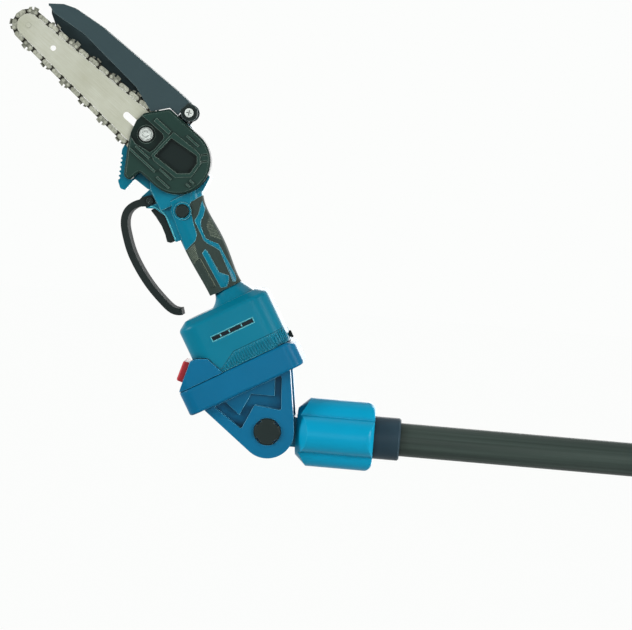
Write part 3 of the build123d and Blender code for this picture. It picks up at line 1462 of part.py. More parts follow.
with BuildPart() as guard_bracket:
    bracket_back = far_front + MOVE
    foot_reach = (HINGE_X - BRACKET_FOOT_HALF, HINGE_X + BRACKET_FOOT_HALF)
    arm_reach = (HINGE_X - BRACKET_ARM_HALF, HINGE_X + BRACKET_ARM_HALF)
    block(BAR, *foot_reach, PLATE_TOP, PLATE_TOP + BRACKET_FOOT, bracket_back, PLATE_FRONT - MOVE)
    block(BAR, *arm_reach, PLATE_TOP + MOVE, HINGE_Y, bracket_back, near_back - MOVE)
    disc(BAR, HINGE_X, HINGE_Y, far_front + MOVE, near_back - MOVE, BRACKET_RADIUS)
    disc(BAR, HINGE_X, HINGE_Y, GUARD_FAR, GUARD_NEAR, HINGE_RADIUS + SEAT, mode=Mode.SUBTRACT)
finish(guard_bracket, "guard_bracket")

with BuildPart() as guard_screw:
    disc(BAR, HINGE_X, HINGE_Y, GUARD_FAR - 1.0, GUARD_NEAR + MOVE, HINGE_RADIUS)
    disc(BAR, HINGE_X, HINGE_Y, GUARD_NEAR + MOVE, GUARD_NEAR + MOVE + HINGE_HEAD_HEIGHT, HINGE_HEAD)
    for turn in (0, 90):
        block(turned(BAR, HINGE_X, HINGE_Y, 30 + turn), -HINGE_HEAD * 0.6, HINGE_HEAD * 0.6, -0.5, 0.5,
              GUARD_NEAR + HINGE_HEAD_HEIGHT - 0.9, GUARD_NEAR + 2 * HINGE_HEAD_HEIGHT, Mode.SUBTRACT)
finish(guard_screw, "guard_screw")

# Rear handle: the same foot and handle, with a socket for the lower tube and a strap eye
socket_x0 = lower_x1 - REAR_SOCKET
socket_r = lower_r + SOCKET_WALL
eye_x = lower_x1 - REAR_SOCKET / 2
eye_z = socket_r + EYE_RADIUS + 1.0
rear_body = foot_and_handle(REAR)
rear_skin = grip_solid(REAR)

with BuildPart() as rear_housing:
    add(rear_body)
    tube(socket_x0, rear_front_x, socket_r)
    fillet(rear_housing.edges().group_by(Axis.X)[0], 3.0)
    disc(POLE, eye_x, eye_z, -EYE_HALF, EYE_HALF, EYE_RADIUS + EYE_WALL)
    disc(POLE, eye_x, eye_z, -EYE_HALF, EYE_HALF, EYE_RADIUS, mode=Mode.SUBTRACT)
    tube(socket_x0, lower_x1 + SEAT, lower_r + SEAT, mode=Mode.SUBTRACT)
    tube(lower_x1, switch_face_x, CABLE_RADIUS + MOVE, mode=Mode.SUBTRACT)
    trigger_room(REAR)
    add(rear_skin, mode=Mode.SUBTRACT)

with BuildPart() as rear_shell_near:
    add(rear_housing.part)
    split(bisect_by=REAR, keep=Keep.TOP)
finish(rear_shell_near, "rear_shell_near")

with BuildPart() as rear_shell_far:
    add(rear_housing.part)
    split(bisect_by=REAR, keep=Keep.BOTTOM)
finish(rear_shell_far, "rear_shell_far")

with BuildPart() as rear_grip:
    add(rear_skin)
finish(rear_grip, "rear_grip")

rear_screws = screws(REAR, screw_spots)
finish(rear_screws, "rear_screws")

rear_trigger = trigger_solid(REAR)
finish(rear_trigger, "rear_trigger")

rear_trigger_spring = spring_solid(REAR)
finish(rear_trigger_spring, "rear_trigger_spring")

rear_switch = switch_solid(REAR)
finish(rear_switch, "rear_switch")

rear_terminals = terminal_solid(REAR)
finish(rear_terminals, "rear_terminals")

with BuildPart() as power_cable:
    tube(upper_x0, switch_face_x, CABLE_RADIUS)
finish(power_cable, "power_cable")

# Battery: a slide pack with cells across it
battery_top = pack_top(REAR)
battery_roof = PACK_TOP - BATTERY_WALL
battery_floor = battery_roof - CELL_ROWS * CELL_PITCH - MOVE
battery_low = battery_floor - BATTERY_WALL
battery_split = battery_low + BATTERY_LID
inner_length = pack_length - 2 * BATTERY_WALL
inner_width = PACK_WIDTH - 2 * BATTERY_WALL
inner_corner = PACK_CORNER - BATTERY_WALL
battery_panel = [(-45.0, 42.5), (45.0, 42.5), (41.0, 64.5), (-41.0, 64.5)]

with BuildPart() as battery_case:
    plan(REAR, battery_split, PACK_TOP, pack_length, PACK_WIDTH, PACK_CORNER)
    plan(REAR, battery_split, battery_roof, inner_length, inner_width, inner_corner, Mode.SUBTRACT)
    for back in (-PACK_WIDTH / 2, PACK_WIDTH / 2 - BATTERY_POCKET):
        slab(REAR, battery_panel, back, back + BATTERY_POCKET, rounding=2.0, mode=Mode.SUBTRACT)
    add(battery_top)
finish(battery_case, "battery_case")

with BuildPart() as battery_lid:
    plan(REAR, battery_low, battery_split, pack_length, PACK_WIDTH, PACK_CORNER)
    fillet(battery_lid.faces().sort_by(Axis((0, 0, 0), REAR.y_dir))[0].edges(), 2.0)
    plan(REAR, battery_floor, battery_split, inner_length, inner_width, inner_corner, Mode.SUBTRACT)
finish(battery_lid, "battery_lid")

with BuildPart() as battery_cells:
    for column in range(CELL_COLUMNS):
        for row in range(CELL_ROWS):
            cell_u = pack_mid + (column - (CELL_COLUMNS - 1) / 2) * CELL_PITCH
            cell_v = battery_roof - SEAT - CELL_RADIUS - row * CELL_PITCH
            disc(REAR, cell_u, cell_v, -CELL_LENGTH / 2, CELL_LENGTH / 2, CELL_RADIUS)
finish(battery_cells, "battery_cells")

battery_button = latch_button(REAR)
finish(battery_button, "battery_button")
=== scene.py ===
"""Looks for the telescoping pole saw: finishes, moulded detail, studio and camera.

Everything is in metres in the CAD frame: +X runs along the pole to the rear handle, +Z is up,
and the saw's cover side faces -Y. Detail is laid out in millimetres in the side-view frames of
the saw, its bar and the rear handle, and then set down on the surface that carries it.
"""

from math import atan, atan2, cos, pi, radians, sin

import bmesh
import bpy
from mathutils import Matrix, Vector


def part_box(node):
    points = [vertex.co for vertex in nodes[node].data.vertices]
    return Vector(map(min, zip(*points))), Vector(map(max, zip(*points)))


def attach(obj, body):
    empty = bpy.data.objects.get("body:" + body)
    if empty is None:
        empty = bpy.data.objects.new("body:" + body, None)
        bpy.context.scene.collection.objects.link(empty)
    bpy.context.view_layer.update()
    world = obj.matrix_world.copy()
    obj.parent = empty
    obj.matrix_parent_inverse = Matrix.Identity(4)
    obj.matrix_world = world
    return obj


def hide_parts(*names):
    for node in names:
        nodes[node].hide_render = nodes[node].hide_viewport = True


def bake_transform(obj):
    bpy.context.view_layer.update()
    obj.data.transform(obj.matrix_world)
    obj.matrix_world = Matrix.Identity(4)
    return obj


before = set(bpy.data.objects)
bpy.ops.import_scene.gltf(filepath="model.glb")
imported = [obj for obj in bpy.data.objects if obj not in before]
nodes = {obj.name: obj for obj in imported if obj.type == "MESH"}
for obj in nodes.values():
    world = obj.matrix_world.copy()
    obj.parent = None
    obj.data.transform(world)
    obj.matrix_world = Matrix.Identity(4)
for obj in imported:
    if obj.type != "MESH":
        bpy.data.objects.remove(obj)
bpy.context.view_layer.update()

MM = 0.001
PER_MM = 1000  # repeats in a metre of a pattern that is one millimetre long

# Places on the part: the tilt pivot and the rear handle in the CAD frame, the bar's stud in the
# saw's side view, and the guard's hinge and the motor drum in the bar's
PIVOT = Vector((-0.6475, 0, 0))
REAR_ORIGIN = Vector((0.4965, 0, -0.018))
HEAD_TILT = radians(30)
STUD = (17.0, 302.5)
BAR_ANGLE = radians(22.2 - 90)
ALONG_BAR = HEAD_TILT + BAR_ANGLE
HINGE = (16.5, 42.3)
DRUM = (40.3, -8.4)


def side_view(origin, turn):
    """A side-view frame in millimetres: x and y in the view and z towards the cover side."""
    axes = Matrix(((cos(turn), -sin(turn), 0), (0, 0, -1), (sin(turn), cos(turn), 0)))
    return Matrix.Translation(origin) @ axes.to_4x4() @ Matrix.Scale(MM, 4)


HEAD = side_view(PIVOT, HEAD_TILT)
BAR = HEAD @ Matrix.Translation((*STUD, 0)) @ Matrix.Rotation(BAR_ANGLE, 4, "Z")
REAR = side_view(REAR_ORIGIN, pi / 2)


# Colours and shader nodes


def linear(code):
    """An sRGB hex colour as linear RGBA."""
    parts = [int(code[i : i + 2], 16) / 255 for i in (0, 2, 4)]
    return (*[p / 12.92 if p <= 0.04045 else ((p + 0.055) / 1.055) ** 2.4 for p in parts], 1.0)


def add_node(material, kind, inputs=None, **settings):
    """Add a shader node with its settings; an input takes a value or another node's socket."""
    tree = material.node_tree
    node = tree.nodes.new(kind)
    for name, value in settings.items():
        setattr(node, name, value)
    for name, value in (inputs or {}).items():
        if isinstance(value, bpy.types.NodeSocket):
            tree.links.new(value, node.inputs[name])
        else:
            node.inputs[name].default_value = value
    return node


def new_material(name):
    """A material with its shader and object coordinates in metres."""
    material = bpy.data.materials.new(name)
    material.use_nodes = True
    shader = material.node_tree.nodes["Principled BSDF"]
    place = add_node(material, "ShaderNodeTexCoord").outputs["Object"]
    return material, shader, place


def link(material, source, target):
    """Join an output to an input."""
    material.node_tree.links.new(source, target)


FEELERS = 6  # rays that feel for corners and edges
CORNER_SHADE_REACH = 7.0  # how near a corner the painted shade reaches; it stands also for dirt
CORNER_SHADE_SPAN = (0.35, 0.9)  # how open a spot is where the painted shade is darkest, and where there is none


def shade_and_dirt_in_corners(material, tint, dirt_and_shade, most):
    """A colour that darkens in corners and gaps: painted shade, which stands also for dirt and oil
    gathered there.
    """
    reach = {"Distance": CORNER_SHADE_REACH * MM}
    hollow = add_node(material, "ShaderNodeAmbientOcclusion", reach, samples=FEELERS)
    span = {"Value": hollow.outputs["AO"], "From Min": CORNER_SHADE_SPAN[0], "From Max": CORNER_SHADE_SPAN[1]}
    corner_shade = add_node(material, "ShaderNodeMapRange", {**span, "To Min": most, "To Max": 0.0})
    layers = {"Factor": corner_shade.outputs["Result"], "A": tint, "B": linear(dirt_and_shade)}
    return add_node(material, "ShaderNodeMix", layers, data_type="RGBA").outputs["Result"]


PLASTIC_IOR = 1.5
PLASTIC_CORNER_SHADE = 0.8  # the most that painted shade and dirt hide of a moulding
GLOSS_DRIFT = 0.06  # roughness either way
GRAIN_BUMP = 0.5
MOULD_GRAIN = 0.6  # near 0.1 mm on the real mouldings; drawn coarse enough to show
COLOUR_DRIFT = (45, 45, 45)  # millimetres along each axis
EDGE_TURN = (0.99, 0.86)  # how far an edge turns from its face where its pale paint, wear and painted highlight, starts, and is full
FACE_FALL = 4.5  # millimetres that a face is sunk when it has its full tone
FACE_TONES = (-0.35, 0.75)  # share of the dark tone on the outermost face, where below zero paints it lighter, and on one that is sunk, painted darker


def moulded(
    name,
    colour,
    shade,
    edge_wear_and_highlight,
    dirt_and_shade,
    roughness,
    grit=MOULD_GRAIN,
    depth=0.02,
    edge=0.5,
    pale_edge_share=0.8,
    shine=0.1,
    face=None,
    drawn=COLOUR_DRIFT,
):
    """Moulded plastic: slow colour drift, painted shade in corners that stands also for dirt,
    edges painted pale as wear and painted highlight, and a fine grain.

    The grain's width and depth, the pale edge and the drift are in millimetres. A face is the
    place along Y of the outermost surface: that face is painted lighter and sunk surfaces darker,
    as painted light and shade.
    """
    material, shader, place = new_material(name)
    size = tuple(PER_MM / length for length in drawn)
    spread = add_node(material, "ShaderNodeMapping", {"Vector": place, "Scale": size})
    cloud = {"Vector": spread.outputs["Vector"], "Scale": 1.0, "Detail": 3.0}
    drift = add_node(material, "ShaderNodeTexNoise", cloud)
    body = {"Factor": drift.outputs["Fac"], "A": linear(shade), "B": linear(colour)}
    tint = add_node(material, "ShaderNodeMix", body, data_type="RGBA")
    # Painted light and shade by depth: the outermost face lighter, the sunk faces darker
    if face is not None:
        depths = add_node(material, "ShaderNodeSeparateXYZ", {"Vector": place}).outputs["Y"]
        span = {"Value": depths, "From Min": face, "From Max": face + FACE_FALL * MM}
        span = {**span, "To Min": FACE_TONES[0], "To Max": FACE_TONES[1]}
        sunk = add_node(material, "ShaderNodeMapRange", span, clamp=False)
        rise = {"Factor": sunk.outputs["Result"], "A": tint.outputs["Result"], "B": linear(dirt_and_shade)}
        tint = add_node(material, "ShaderNodeMix", rise, data_type="RGBA", clamp_factor=False)
    # Edges painted pale: partly wear, partly painted highlight
    rounded = add_node(material, "ShaderNodeBevel", {"Radius": edge * MM}, samples=FEELERS)
    flat = add_node(material, "ShaderNodeNewGeometry")
    both = {0: rounded.outputs["Normal"], 1: flat.outputs["Normal"]}
    turn = add_node(material, "ShaderNodeVectorMath", both, operation="DOT_PRODUCT")
    span = {"Value": turn.outputs["Value"], "From Min": EDGE_TURN[0], "From Max": EDGE_TURN[1]}
    pale_edge = add_node(material, "ShaderNodeMapRange", {**span, "To Max": pale_edge_share})
    # Painted shade in corners and gaps, standing also for dirt
    shaded_tint = shade_and_dirt_in_corners(material, tint.outputs["Result"], dirt_and_shade, PLASTIC_CORNER_SHADE)
    coat = {"Factor": pale_edge.outputs["Result"], "A": shaded_tint, "B": linear(edge_wear_and_highlight)}
    paint = add_node(material, "ShaderNodeMix", coat, data_type="RGBA")
    pebbles = {"Vector": place, "Scale": PER_MM / grit, "Detail": 2.0}
    grain = add_node(material, "ShaderNodeTexNoise", pebbles)
    sheen = {"To Min": roughness - GLOSS_DRIFT, "To Max": roughness + GLOSS_DRIFT}
    gloss = add_node(material, "ShaderNodeMapRange", {"Value": drift.outputs["Fac"], **sheen})
    relief = {"Height": grain.outputs["Fac"], "Normal": rounded.outputs["Normal"]}
    relief = {**relief, "Strength": GRAIN_BUMP, "Distance": depth * MM}
    bump = add_node(material, "ShaderNodeBump", relief)
    link(material, paint.outputs["Result"], shader.inputs["Base Color"])
    link(material, gloss.outputs["Result"], shader.inputs["Roughness"])
    link(material, bump.outputs["Normal"], shader.inputs["Normal"])
    shader.inputs["IOR"].default_value = PLASTIC_IOR
    shader.inputs["Specular IOR Level"].default_value = shine
    return material


METAL_CORNER_SHADE = 0.9  # the most that painted shade, dirt and oil hide of a metal
STREAK_GLOSS = 0.1  # roughness either way
STREAK_BUMP = 0.4
STREAK_DEPTH = 0.01
STREAK_SPAN = (0.12, 0.42)  # levels of the streaks that are darkest and palest
CLOUDS = 30  # millimetres across


def metal(name, colour, shade, dirt_and_shade, roughness, along, length, width):
    """Bare metal with a directional finish: streaks of a length and width, in millimetres."""
    material, shader, place = new_material(name)
    turning = {"Vector": place, "Rotation": (0, along, 0)}
    turned = add_node(material, "ShaderNodeMapping", turning)
    size = (PER_MM / length, PER_MM / width, PER_MM / width)
    pulling = {"Vector": turned.outputs["Vector"], "Scale": size}
    stretch = add_node(material, "ShaderNodeMapping", pulling)
    lines = {"Vector": stretch.outputs["Vector"], "Scale": 1.0, "Detail": 4.0}
    streak = add_node(material, "ShaderNodeTexNoise", lines)
    patches = {"Vector": place, "Scale": PER_MM / CLOUDS, "Detail": 3.0}
    cloud = add_node(material, "ShaderNodeTexNoise", patches)
    pair = {0: streak.outputs["Fac"], 1: cloud.outputs["Fac"]}
    both = add_node(material, "ShaderNodeMath", pair, operation="MULTIPLY")
    span = {"Value": both.outputs["Value"], "From Min": STREAK_SPAN[0], "From Max": STREAK_SPAN[1]}
    level = add_node(material, "ShaderNodeMapRange", span)
    body = {"Factor": level.outputs["Result"], "A": linear(shade), "B": linear(colour)}
    tint = add_node(material, "ShaderNodeMix", body, data_type="RGBA")
    sheen = {"To Min": roughness - STREAK_GLOSS, "To Max": roughness + STREAK_GLOSS}
    gloss = add_node(material, "ShaderNodeMapRange", {"Value": streak.outputs["Fac"], **sheen})
    relief = {"Strength": STREAK_BUMP, "Distance": STREAK_DEPTH * MM}
    bump = add_node(material, "ShaderNodeBump", {"Height": streak.outputs["Fac"], **relief})
    # Painted shade in corners and gaps, standing also for dirt and oil
    shaded_tint = shade_and_dirt_in_corners(material, tint.outputs["Result"], dirt_and_shade, METAL_CORNER_SHADE)
    link(material, shaded_tint, shader.inputs["Base Color"])
    link(material, gloss.outputs["Result"], shader.inputs["Roughness"])
    link(material, bump.outputs["Normal"], shader.inputs["Normal"])
    shader.inputs["Metallic"].default_value = 1.0
    return material


# Moulded ABS of the housings, clevis and collars: satin, with pale corners that are wear and
# painted highlight
teal_abs = moulded("teal_abs", "03748D", "02687F", "9ADDE0", "013040", 0.30)
blue_abs = moulded("blue_abs", "04668D", "035C80", "7CCBE8", "022C45", 0.32)
cyan_abs = moulded("cyan_abs", "0296BC", "018BB0", "4CC4E6", "014A66", 0.30)
# Glass-filled nylon of the cover, guard and ferrule: darker and drier, with chalky edges that are
# partly painted highlight. The cover's sunk faces are painted darker and its outer ones lighter,
# as painted shade and light
COVER_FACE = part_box("side_cover")[0].y
cover_nylon = moulded(
    "cover_nylon", "213A34", "1A312B", "7E9288", "070F0D", 0.38,
    edge=0.8, pale_edge_share=0.7, face=COVER_FACE,
)
guard_nylon = moulded("guard_nylon", "36474A", "304044", "93A19E", "0C1415", 0.45)
ferrule_nylon = moulded("ferrule_nylon", "2A3D47", "243640", "5E7680", "0E161A", 0.42)
# Black ABS of buttons, triggers and the battery: near black, with grey edges of wear and painted
# highlight
black_abs = moulded("black_abs", "202B2A", "182221", "78827F", "080C0C", 0.40)
# Soft nylon of the knuckle strap: dull, with hardly a highlight
strap_nylon = moulded("strap_nylon", "282F2E", "202726", "525B5A", "0C1010", 0.62, shine=0.02)
# Polyester film on the cover: flat and even beside the moulding, with a finer grain
label_film = moulded("label_film", "16211F", "121C1B", "3A4844", "0A100F", 0.48, grit=0.4)
# Red ABS of the release buttons: the one warm colour, pink on its edges as wear and painted
# highlight
red_abs = moulded("red_abs", "B8383E", "A83036", "E59A98", "4A1214", 0.34)
# Smoked polycarbonate of the charge window: almost black, and the glossiest plastic
smoked_pc = moulded("smoked_pc", "04161E", "031117", "1F4450", "02080C", 0.15)
# Pale teal ABS: a light line round the charge window and along the trigger shroud
pale_teal_abs = moulded("pale_teal_abs", "58B6C0", "4CAAB6", "B5E4E4", "1C5A66", 0.34)
# Soft thermoplastic over the handles: matt, with a pebbled skin, and paler on its ribs
grip_tpe = moulded(
    "grip_tpe", "36433E", "2D3935", "7C887F", "121814", 0.75, grit=0.9, depth=0.07
)
rib_tpe = moulded("rib_tpe", "6A7668", "5E6A5C", "A2AC9E", "1C221C", 0.75, grit=0.9, depth=0.05)
# Lacquer on the drawn pole tubes: satin, with die lines along the pole and a fine orange peel
DIE_LINES = (400, 4, 4)
tube_coat = moulded(
    "tube_coat", "48554F", "141C1A", "5A6663", "101514", 0.40,
    grit=1.2, depth=0.03, drawn=DIE_LINES,
)
# Ground bar steel: scratches along the bar, finer on the real one and drawn to show
bar_steel = metal("bar_steel", "A9ABA0", "969888", "4A4A42", 0.44, ALONG_BAR, 22, 0.35)
# Oiled chain: drive links dark with oil and with painted shade between rubbed side plates, bright
# cutters and rivets
shaded_link_steel = metal("shaded_link_steel", "4A4A44", "26261F", "0E0E0C", 0.40, ALONG_BAR, 2.2, 1.8)
strap_steel = metal("strap_steel", "ABAD9F", "787A6E", "1C1C18", 0.34, ALONG_BAR, 2.2, 1.8)
cutter_steel = metal("cutter_steel", "8C8E82", "55574E", "16160F", 0.30, ALONG_BAR, 2.2, 1.8)
# Zinc plate: bright, with faint cloudiness
zinc = metal("zinc", "C2C8C4", "9AA09C", "2A2E2C", 0.26, 0.0, 4, 1.5)
# Turned and drawn steel inside the saw: grey, with fine tool marks
machined_steel = metal("machined_steel", "A6A9AB", "8A8D90", "2A2B2C", 0.32, 0.0, 5, 0.4)
spring_wire = metal("spring_wire", "A2A4A6", "7E8184", "2A2B2C", 0.30, 0.0, 5, 0.4)
# Rolled brass of the terminals: warm, with faint rolling marks
brass = metal("brass", "D2AE58", "B08C3C", "4A3A18", 0.30, 0.0, 5, 0.5)
# Shrink sleeve of the cells: smooth and fairly glossy
cell_sleeve = moulded("cell_sleeve", "3F7D55", "37704B", "7FB493", "16301F", 0.30)
# Extruded rubber of the power lead: dull black
cable_rubber = moulded("cable_rubber", "1E1F20", "191A1B", "3A3B3C", "0A0A0B", 0.60)

FINISHES = {
    teal_abs: "housing_near housing_far rear_shell_near rear_shell_far",
    blue_abs: "clevis adapter_case",
    cyan_abs: "head_collar telescope_collar swivel_tongue",
    cover_nylon: "side_cover",
    guard_nylon: "chain_guard",
    ferrule_nylon: "pole_ferrule",
    black_abs: "saw_trigger rear_trigger lock_off_button strap_post pivot_button battery_case "
    "battery_lid lower_collet slide_bush saw_switch rear_switch guard_bracket knuckle_screw",
    strap_nylon: "knuckle_guard",
    red_abs: "adapter_button battery_button",
    smoked_pc: "charge_window",
    grip_tpe: "handle_grip rear_grip",
    tube_coat: "upper_tube lower_tube",
    bar_steel: "guide_bar nose_rivet",
    shaded_link_steel: "chain_drive_links",
    strap_steel: "chain_straps chain_rivets",
    cutter_steel: "chain_cutters",
    zinc: "bar_nut bar_stud guard_screw housing_screws rear_screws pivot_bolt",
    machined_steel: "drive_sprocket drive_spindle drive_gear motor_pinion motor_can "
    "spindle_bearings nose_sprocket",
    spring_wire: "pivot_spring trigger_spring rear_trigger_spring",
    brass: "saw_terminals rear_terminals",
    cell_sleeve: "battery_cells",
    cable_rubber: "power_cable",
}
for finish, names in FINISHES.items():
    for name in names.split():
        nodes[name].data.materials.clear()
        nodes[name].data.materials.append(finish)


# Moulded detail set down on the CAD surfaces

NEAR, FAR = 1, -1  # the cover side of a side view, and the other one
SINK = 0.15 * MM  # how far a detail's foot goes into its surface
STAND_OFF = 120  # where a line of sight starts, clear of the side
BEAD_POINTS = 7  # round a bead's section
BEAD_END = 0.3  # share of its height at an open end
DRAW_IN = (0.0, 0.05, 0.1, 0.2)  # shares of the way to a plate's middle, to find the surface
BEVEL_DROP = 0.6  # share of a bevel's width
SMOOTHING = {"factor": 0.5, "use_axis_x": True, "use_axis_y": True, "use_axis_z": True}
CRISP_ANGLE = radians(20)


def first_hit(names, start, aim):
    """Where a line first meets the named nodes: place and the surface's outward direction."""
    hits = []
    for name in names:
        found, place, normal, _ = nodes[name].ray_cast(start, aim)
        if found:
            outward = normal if normal.dot(aim) < 0 else -normal
            hits.append(((place - start).length, place, outward))
    return min(hits, key=lambda hit: hit[0])[1:] if hits else None


def seen_from(view, names, side, x, y):
    """The spot on the named nodes at a place of a side view, seen from one side."""
    start = view @ Vector((x, y, side * STAND_OFF))
    aim = (view.to_3x3() @ Vector((0, 0, -side))).normalized()
    return first_hit(names, start, aim)


def walk(points, step):
    """Points along straight runs, about a step apart."""
    line = [Vector(points[0])]
    for a, b in zip(points, points[1:]):
        a, b = Vector(a), Vector(b)
        count = max(1, round((b - a).length / step))
        line += [a.lerp(b, i / count) for i in range(1, count + 1)]
    return line


def trail(view, names, side, points, step=1.5):
    """A line of a side view laid on the named nodes."""
    spots = [seen_from(view, names, side, p.x, p.y) for p in walk(points, step)]
    return [spot for spot in spots if spot]


def skin(mesh, rings):
    """Faces between rings of as many points."""
    for a, b in zip(rings, rings[1:]):
        for k in range(len(a)):
            following = (k + 1) % len(a)
            mesh.faces.new((a[k], a[following], b[following], b[k]))


def bead(mesh, path, width, height, closed=False):
    """Sweep a half-round bead along spots on a surface; open ends run down to it."""
    last = len(path) - 1
    if last < 1:
        return
    rings = []
    for i, (place, normal) in enumerate(path):
        before = path[i - 1 if i else (last - 1 if closed else 0)][0]
        after = path[i + 1 if i < last else (1 if closed else last)][0]
        aside = (after - before).cross(normal).normalized()
        rise = height * MM * (BEAD_END if i in (0, last) and not closed else 1.0)
        ring = []
        for k in range(BEAD_POINTS):
            turn = pi * k / (BEAD_POINTS - 1)
            across = aside * (cos(turn) * width * MM / 2)
            ring.append(mesh.verts.new(place + across + normal * (sin(turn) * rise - SINK)))
        rings.append(ring)
    if closed:
        rings[-1] = rings[0]
    skin(mesh, rings)
    if not closed:
        mesh.faces.new(rings[0])
        mesh.faces.new(rings[-1])


def plate(mesh, view, names, side, outline, rise, bevel, grid=2.5, passes=0):
    """A thin plate over an outline of a side view, bevelled, which follows the surface."""
    flat = bmesh.new()
    border = walk([*outline, outline[0]], grid)[:-1]
    flat.faces.new([flat.verts.new((p.x, p.y, 0)) for p in border])
    bmesh.ops.inset_region(flat, faces=flat.faces[:], thickness=bevel, use_even_offset=True)
    for axis in (0, 1):
        low, high = min(p[axis] for p in outline), max(p[axis] for p in outline)
        square = Vector((1 - axis, axis, 0))
        for i in range(1, int((high - low) / grid) + 1):
            everything = flat.verts[:] + flat.edges[:] + flat.faces[:]
            cut = {"plane_co": square * (low + i * grid), "plane_no": square}
            bmesh.ops.bisect_plane(flat, geom=everything, **cut)
    slab = bmesh.ops.extrude_face_region(flat, geom=flat.faces[:], use_keep_orig=True)
    top = {item for item in slab["geom"] if isinstance(item, bmesh.types.BMVert)}
    walls = [edge for edge in flat.edges if len({vert in top for vert in edge.verts}) == 2]
    rim = {vert for edge in walls for vert in edge.verts}
    middle = sum((Vector(p) for p in outline), Vector((0, 0))) / len(outline)
    # Points and faces go into one fixed order, because the cuts leave another on each run
    order = sorted(flat.verts, key=lambda vert: (vert in top, *vert.co))
    rank = {vert: i for i, vert in enumerate(order)}
    moved = {}
    for vert in order:
        spot = None
        for share in DRAW_IN:
            at = vert.co.to_2d().lerp(middle, share)
            spot = spot or seen_from(view, names, side, at.x, at.y)
        if spot:
            height = rise - bevel * BEVEL_DROP if vert in rim else rise
            lift = height * MM if vert in top else -SINK
            moved[vert] = mesh.verts.new(spot[0] + spot[1] * lift)
    loops = []
    for face in flat.faces:
        if all(vert in moved for vert in face.verts):
            loop = [rank[vert] for vert in face.verts]
            first = loop.index(min(loop))
            loops.append(loop[first:] + loop[:first])
    for loop in sorted(loops):
        mesh.faces.new([moved[order[i]] for i in loop])
    edged = rim | {edge.other_vert(vert) for vert in rim for edge in vert.link_edges}
    inner = [moved[vert] for vert in moved if vert in top and vert not in edged]
    for _ in range(passes):
        bmesh.ops.smooth_vert(mesh, verts=inner, **SMOOTHING)
    flat.free()


def add_piece(name, mesh, finish, body, crisp=False):
    """Make an object of a finished mesh and let it move with a body, if it has one."""
    bmesh.ops.recalc_face_normals(mesh, faces=mesh.faces[:])
    data = bpy.data.meshes.new(name)
    mesh.to_mesh(data)
    mesh.free()
    for face in data.polygons:
        face.use_smooth = True
    if crisp:
        data.set_sharp_from_angle(angle=CRISP_ANGLE)
    data.materials.append(finish)
    piece = bpy.data.objects.new(name, data)
    bpy.context.scene.collection.objects.link(piece)
    if body:
        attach(piece, body)
    return piece


# Sizes of detail are in millimetres, and those of a bead are its width and its height

# Foot: a ribbed band low on each side, with a dark line along its upper edge
RIB_PITCH = 2.7  # finer on the real band; drawn coarse enough to show
RIB = (1.5, 0.8)
RIB_SPOTS = 5
RIB_GAP = 0.8  # from a rib's upper end to the band's edge
EDGE_LINE = (0.7, 0.2)
EDGE_STEP = 1.5
EDGE_LEAD = 1.0
BAND_START = -14.0
BAND_KINK = 5.0
BAND_LOW = 70.2
BAND_TIP = 72.0
BAND_HIGH = 83.0
FOOT_BEND = 38.0  # where the flat side turns into the rear corner
FOOT_CORNER = 18.0
FOOT_HALF = 34.0
CORNER_STAND_OFF = 60
BAND_TURN = radians(82)  # how far the band goes round that corner
BAND_END = FOOT_BEND + FOOT_CORNER * BAND_TURN


def foot_spot(view, name, side, along, height):
    """A spot on the foot's side, measured along it and round its rear corner."""
    if along <= FOOT_BEND:
        return seen_from(view, [name], side, along, height)
    turn = (along - FOOT_BEND) / FOOT_CORNER
    out = Vector((sin(turn), 0, side * cos(turn)))
    centre = Vector((FOOT_BEND, height, side * (FOOT_HALF - FOOT_CORNER)))
    aim = -(view.to_3x3() @ out).normalized()
    return first_hit([name], view @ (centre + out * CORNER_STAND_OFF), aim)


def band_top(along):
    """The ribbed band's upper edge, which slopes down at its front."""
    share = min(1.0, (along - BAND_START) / (BAND_KINK - BAND_START))
    return BAND_TIP + (BAND_HIGH - BAND_TIP) * share


def foot_band(view, near, far, body, label):
    """The ribbed band and its edge line, on both sides of one foot."""
    ribs, line = bmesh.new(), bmesh.new()
    for name, side in ((near, NEAR), (far, FAR)):
        along = BAND_START
        while along < BAND_END:
            rise = band_top(along) - RIB_GAP - BAND_LOW
            heights = [BAND_LOW + rise * i / (RIB_SPOTS - 1) for i in range(RIB_SPOTS)]
            spots = [foot_spot(view, name, side, along, height) for height in heights]
            bead(ribs, [spot for spot in spots if spot], *RIB)
            along += RIB_PITCH
        count = int((BAND_END - BAND_START) / EDGE_STEP) + 2
        steps = [max(BAND_START, BAND_START - EDGE_LEAD + i * EDGE_STEP) for i in range(count)]
        edge = [foot_spot(view, name, side, step, band_top(step)) for step in steps]
        bead(line, [spot for spot in edge if spot], *EDGE_LINE)
    add_piece(f"{label}_band_ribs", ribs, teal_abs, body)
    add_piece(f"{label}_band_line", line, smoked_pc, body)


foot_band(HEAD, "housing_near", "housing_far", "saw", "foot")
foot_band(REAR, "rear_shell_near", "rear_shell_far", "lower_pole", "rear_foot")

# Charge strip: a pale rim round the window, and bars between its four lights
STRIP = [(-9.2, 99.1), (34.4, 99.1), (34.4, 104.3), (-9.2, 104.3)]
STRIP_RIM = (0.9, 0.4)
STRIP_BAR = (1.3, 0.3)
BAR_PLACES = (0.0, 9.2, 22.0)
BAR_LOW, BAR_HIGH = 100.2, 103.2
FINE_STEP = 1.0
strip = bmesh.new()
rim_line = trail(HEAD, ["housing_near"], NEAR, [*STRIP, STRIP[0]])
bead(strip, rim_line, *STRIP_RIM, closed=True)
for x in BAR_PLACES:
    bar_line = [(x, BAR_LOW), (x, BAR_HIGH)]
    bead(strip, trail(HEAD, ["charge_window"], NEAR, bar_line, FINE_STEP), *STRIP_BAR)
add_piece("charge_strip_rim", strip, pale_teal_abs, "saw")


